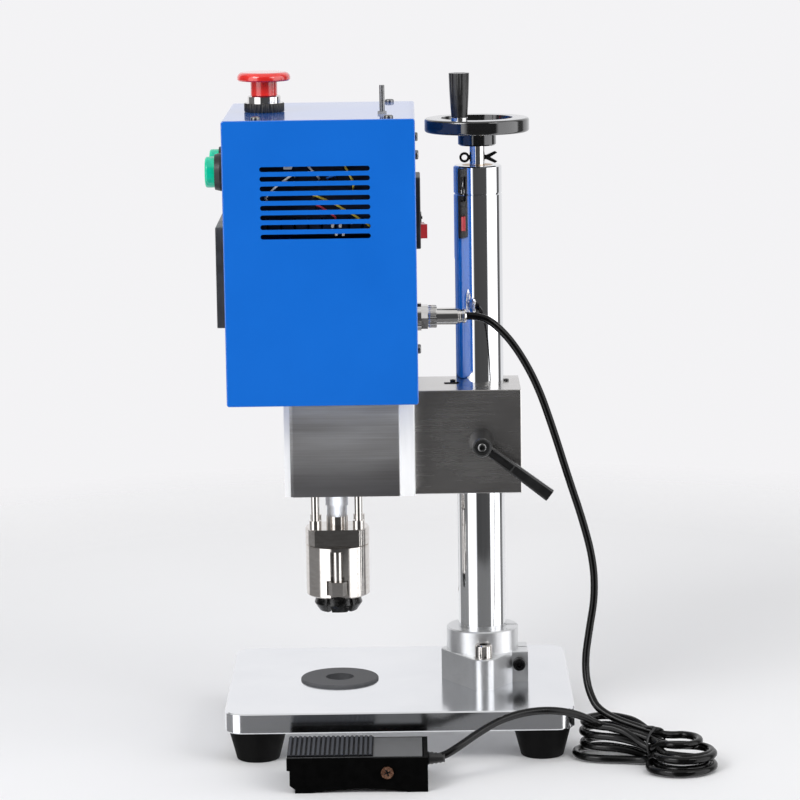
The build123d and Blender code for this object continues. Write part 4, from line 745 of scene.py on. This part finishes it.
def makeInletDetail():
    settings = inletSettings
    builder = bmesh.new()
    for offsetX, offsetZ in settings["pins"]:
        x, z = settings["x"] + offsetX, settings["socketZ"] + offsetZ
        halfX, halfZ = settings["pinHalf"]
        back, front = settings["pinBack"], settings["pinBack"] + settings["pinLength"]
        blockInto(builder, (x - halfX, back, z - halfZ), (x + halfX, front, z + halfZ), 0.0004)
    addPiece("inletPins", meshFromBuilder("inletPins", builder), "turnedSteel", "head", False)
    builder = bmesh.new()
    blockInto(builder, settings["drawerLow"], settings["drawerHigh"], 0.0003)
    blockInto(builder, settings["pullLow"], settings["pullHigh"], 0.0003)
    addPiece("fuseDrawer", meshFromBuilder("fuseDrawer", builder), "mouldedBlack", "head", False)


def makeWindow():
    settings = windowSettings
    builder = bmesh.new()
    width, height, middle = settings["halfWidth"], settings["halfHeight"], settings["middle"]
    blockInto(builder, (-width, settings["front"], middle - height), (width, settings["back"], middle + height), 0.0004)
    addPiece("panelGlass", meshFromBuilder("panelGlass", builder), "darkGlass", "head", False)


makeInletDetail()
makeWindow()

# Plug of the lead: knurled ring and two tail rings; boot where the lead enters the pedal
plugSettings = {
    "axis": (0.045, 0.066, 0.2982), "ringStart": 0.008, "ringLength": 0.007, "ring": 0.00885, "bore": 0.0082,
    "teeth": 40, "bite": 0.0005, "tailStart": 0.0315, "tail": 0.0058,
    "tailPitch": 0.0036, "tailBore": 0.0052,
}
bootSettings = {"end": (0.165, 0.069, -0.022), "length": 0.013, "root": 0.0052, "tip": 0.0034}


def makePlugDetail():
    settings = plugSettings
    builder = bmesh.new()
    start, length, ring = settings["ringStart"], settings["ringLength"], settings["ring"]
    ringTurn(builder, [(settings["bore"], start + 0.0002), (ring - 0.0004, start + 0.0002), (ring, start + 0.0009, 1),
                       (ring, start + length - 0.0009, 1), (ring - 0.0004, start + length - 0.0001),
                       (settings["bore"], start + length - 0.0001)],
             settings["axis"], (0, 1, 0), 240, settings["teeth"], settings["bite"])
    tail, tailBore = settings["tail"], settings["tailBore"]
    for place in (settings["tailStart"], settings["tailStart"] + settings["tailPitch"]):
        ringTurn(builder, [(tailBore, place), (tail, place + 0.0003), (tail, place + 0.0014),
                           (tailBore, place + 0.0018)], settings["axis"], (0, 1, 0), 48)
    sharpen(addPiece("plugRings", meshFromBuilder("plugRings", builder), "polishedTurned", "head"), 45)


def makeBoot():
    settings = bootSettings
    builder = bmesh.new()
    profile = []
    for step in range(9):
        share = step / 8
        radius = settings["root"] + (settings["tip"] - settings["root"]) * share
        if step % 2 and step < 8:
            radius -= 0.0005
        profile.append((radius, settings["length"] * share))
    closedTurn(builder, profile, settings["end"], (0, 1, 0.0), 32)
    addPiece("pedalBoot", meshFromBuilder("pedalBoot", builder), "mouldedBlack", "stand")


makePlugDetail()
makeBoot()
print("fine pieces made")

# Floor, world and lamps. The studio's walls are given by azimuth, degrees from +X towards +Y, with their brightness
roomSettings = {
    "floorTone": (0.86, 0.86, 0.865),
    "floorCentre": (0.25, -0.07),           # minus the place of the pale floor's middle
    "floorSolid": 0.6, "floorFade": 0.95,
    "mirrorFade": 0.85,                     # how far bright metal looks past the floor to the walls
    "backdrop": (0.90, 0.895, 0.91),
    "worldLevel": 2.2,
    "walls": [(-180, 0.42), (-131, 0.42), (-125, 0.08), (-70, 0.08), (-64, 0.95), (-30, 0.95), (-21, 0.03),
              (41, 0.035), (48, 0.95), (98, 0.95), (103, 0.06), (119, 0.06), (124, 0.40), (180, 0.40)],
    "ceiling": 0.36, "ceilingFrom": 0.55, "ceilingTo": 0.8,
    # name: place, size, energy, aim
    "lamps": {
        "operatorSide": ((1.5, -1.2, 1.7), (0.9, 0.9), 17, (0, 0, 0.2)),
        "columnSide": ((1.5, 1.3, 1.5), (0.7, 0.7), 7, (0, 0.1, 0.2)),
    },
}


def makeFloor():
    mesh = bpy.data.meshes.new("floor")
    builder = bmesh.new()
    bmesh.ops.create_grid(builder, x_segments=1, y_segments=1, size=2)
    builder.to_mesh(mesh)
    builder.free()
    floor = bpy.data.objects.new("floor", mesh)
    floor.location.z = floorHeight
    bpy.context.scene.collection.objects.link(floor)
    finish, tree, shader = startFinish("floorPaint")
    tone = roomSettings["floorTone"]
    pale = colourRamp(tree, grain(tree, 3), [(0.3, [c * 0.985 for c in tone]), (0.7, tone)])
    tree.links.new(pale, shader.inputs["Base Color"])
    shader.inputs["Roughness"].default_value = 0.7
    shader.inputs["IOR"].default_value = 1.3
    coords = addNode(tree, "ShaderNodeTexCoord")
    mapping = addNode(tree, "ShaderNodeMapping")
    mapping.inputs["Location"].default_value = (*roomSettings["floorCentre"], 0)
    distance = addNode(tree, "ShaderNodeVectorMath", operation="LENGTH")
    tree.links.new(coords.outputs["Object"], mapping.inputs["Vector"])
    tree.links.new(mapping.outputs["Vector"], distance.inputs[0])
    fade = spread(tree, distance.outputs["Value"], roomSettings["floorSolid"], roomSettings["floorFade"], 0, 1)
    rays = addNode(tree, "ShaderNodeLightPath")
    mirrored = addNode(tree, "ShaderNodeMath", operation="MULTIPLY")
    mirrored.inputs[1].default_value = roomSettings["mirrorFade"]
    tree.links.new(rays.outputs["Is Glossy Ray"], mirrored.inputs[0])
    most = addNode(tree, "ShaderNodeMath", operation="MAXIMUM")
    tree.links.new(fade, most.inputs[0])
    tree.links.new(mirrored.outputs[0], most.inputs[1])
    clear = addNode(tree, "ShaderNodeBsdfTransparent")
    mix = addNode(tree, "ShaderNodeMixShader")
    tree.links.new(most.outputs[0], mix.inputs["Fac"])
    tree.links.new(shader.outputs["BSDF"], mix.inputs[1])
    tree.links.new(clear.outputs["BSDF"], mix.inputs[2])
    tree.links.new(mix.outputs["Shader"], tree.nodes["Material Output"].inputs["Surface"])
    mesh.materials.append(finish)


def makeWorld():
    world = bpy.data.worlds.new("studio")
    world.use_nodes = True
    tree = world.node_tree
    studio = tree.nodes["Background"]
    coords = addNode(tree, "ShaderNodeTexCoord")
    around = addNode(tree, "ShaderNodeTexGradient", gradient_type="RADIAL")
    tree.links.new(coords.outputs["Generated"], around.inputs["Vector"])
    stops = [(azimuth / 360 + 0.5, (level, level, level * 1.02)) for azimuth, level in roomSettings["walls"]]
    walls = colourRamp(tree, around.outputs["Fac"], stops)
    parts = addNode(tree, "ShaderNodeSeparateXYZ")
    tree.links.new(coords.outputs["Generated"], parts.inputs["Vector"])
    height = spread(tree, parts.outputs["Z"], roomSettings["ceilingFrom"], roomSettings["ceilingTo"], 0, 1)
    overhead = addNode(tree, "ShaderNodeMix", data_type="RGBA")
    overhead.inputs[7].default_value = (*[roomSettings["ceiling"]] * 3, 1)
    tree.links.new(height, overhead.inputs[0])
    tree.links.new(walls, overhead.inputs[6])
    tree.links.new(overhead.outputs[2], studio.inputs["Color"])
    studio.inputs["Strength"].default_value = roomSettings["worldLevel"]
    plain = addNode(tree, "ShaderNodeBackground", Color=(*roomSettings["backdrop"], 1), Strength=1)
    rays = addNode(tree, "ShaderNodeLightPath")
    mix = addNode(tree, "ShaderNodeMixShader")
    tree.links.new(rays.outputs["Is Camera Ray"], mix.inputs["Fac"])
    tree.links.new(studio.outputs["Background"], mix.inputs[1])
    tree.links.new(plain.outputs["Background"], mix.inputs[2])
    tree.links.new(mix.outputs["Shader"], tree.nodes["World Output"].inputs["Surface"])
    bpy.context.scene.world = world


def makeLamps():
    for name, (place, size, energy, aim) in roomSettings["lamps"].items():
        light = bpy.data.lights.new(name, "AREA")
        light.shape = "RECTANGLE"
        light.size, light.size_y = size
        light.energy = energy
        lamp = bpy.data.objects.new(name, light)
        lamp.location = place
        lamp.rotation_euler = (Vector(aim) - Vector(place)).to_track_quat("-Z", "Y").to_euler()
        bpy.context.scene.collection.objects.link(lamp)


makeFloor()
makeWorld()
makeLamps()
print("room lit")
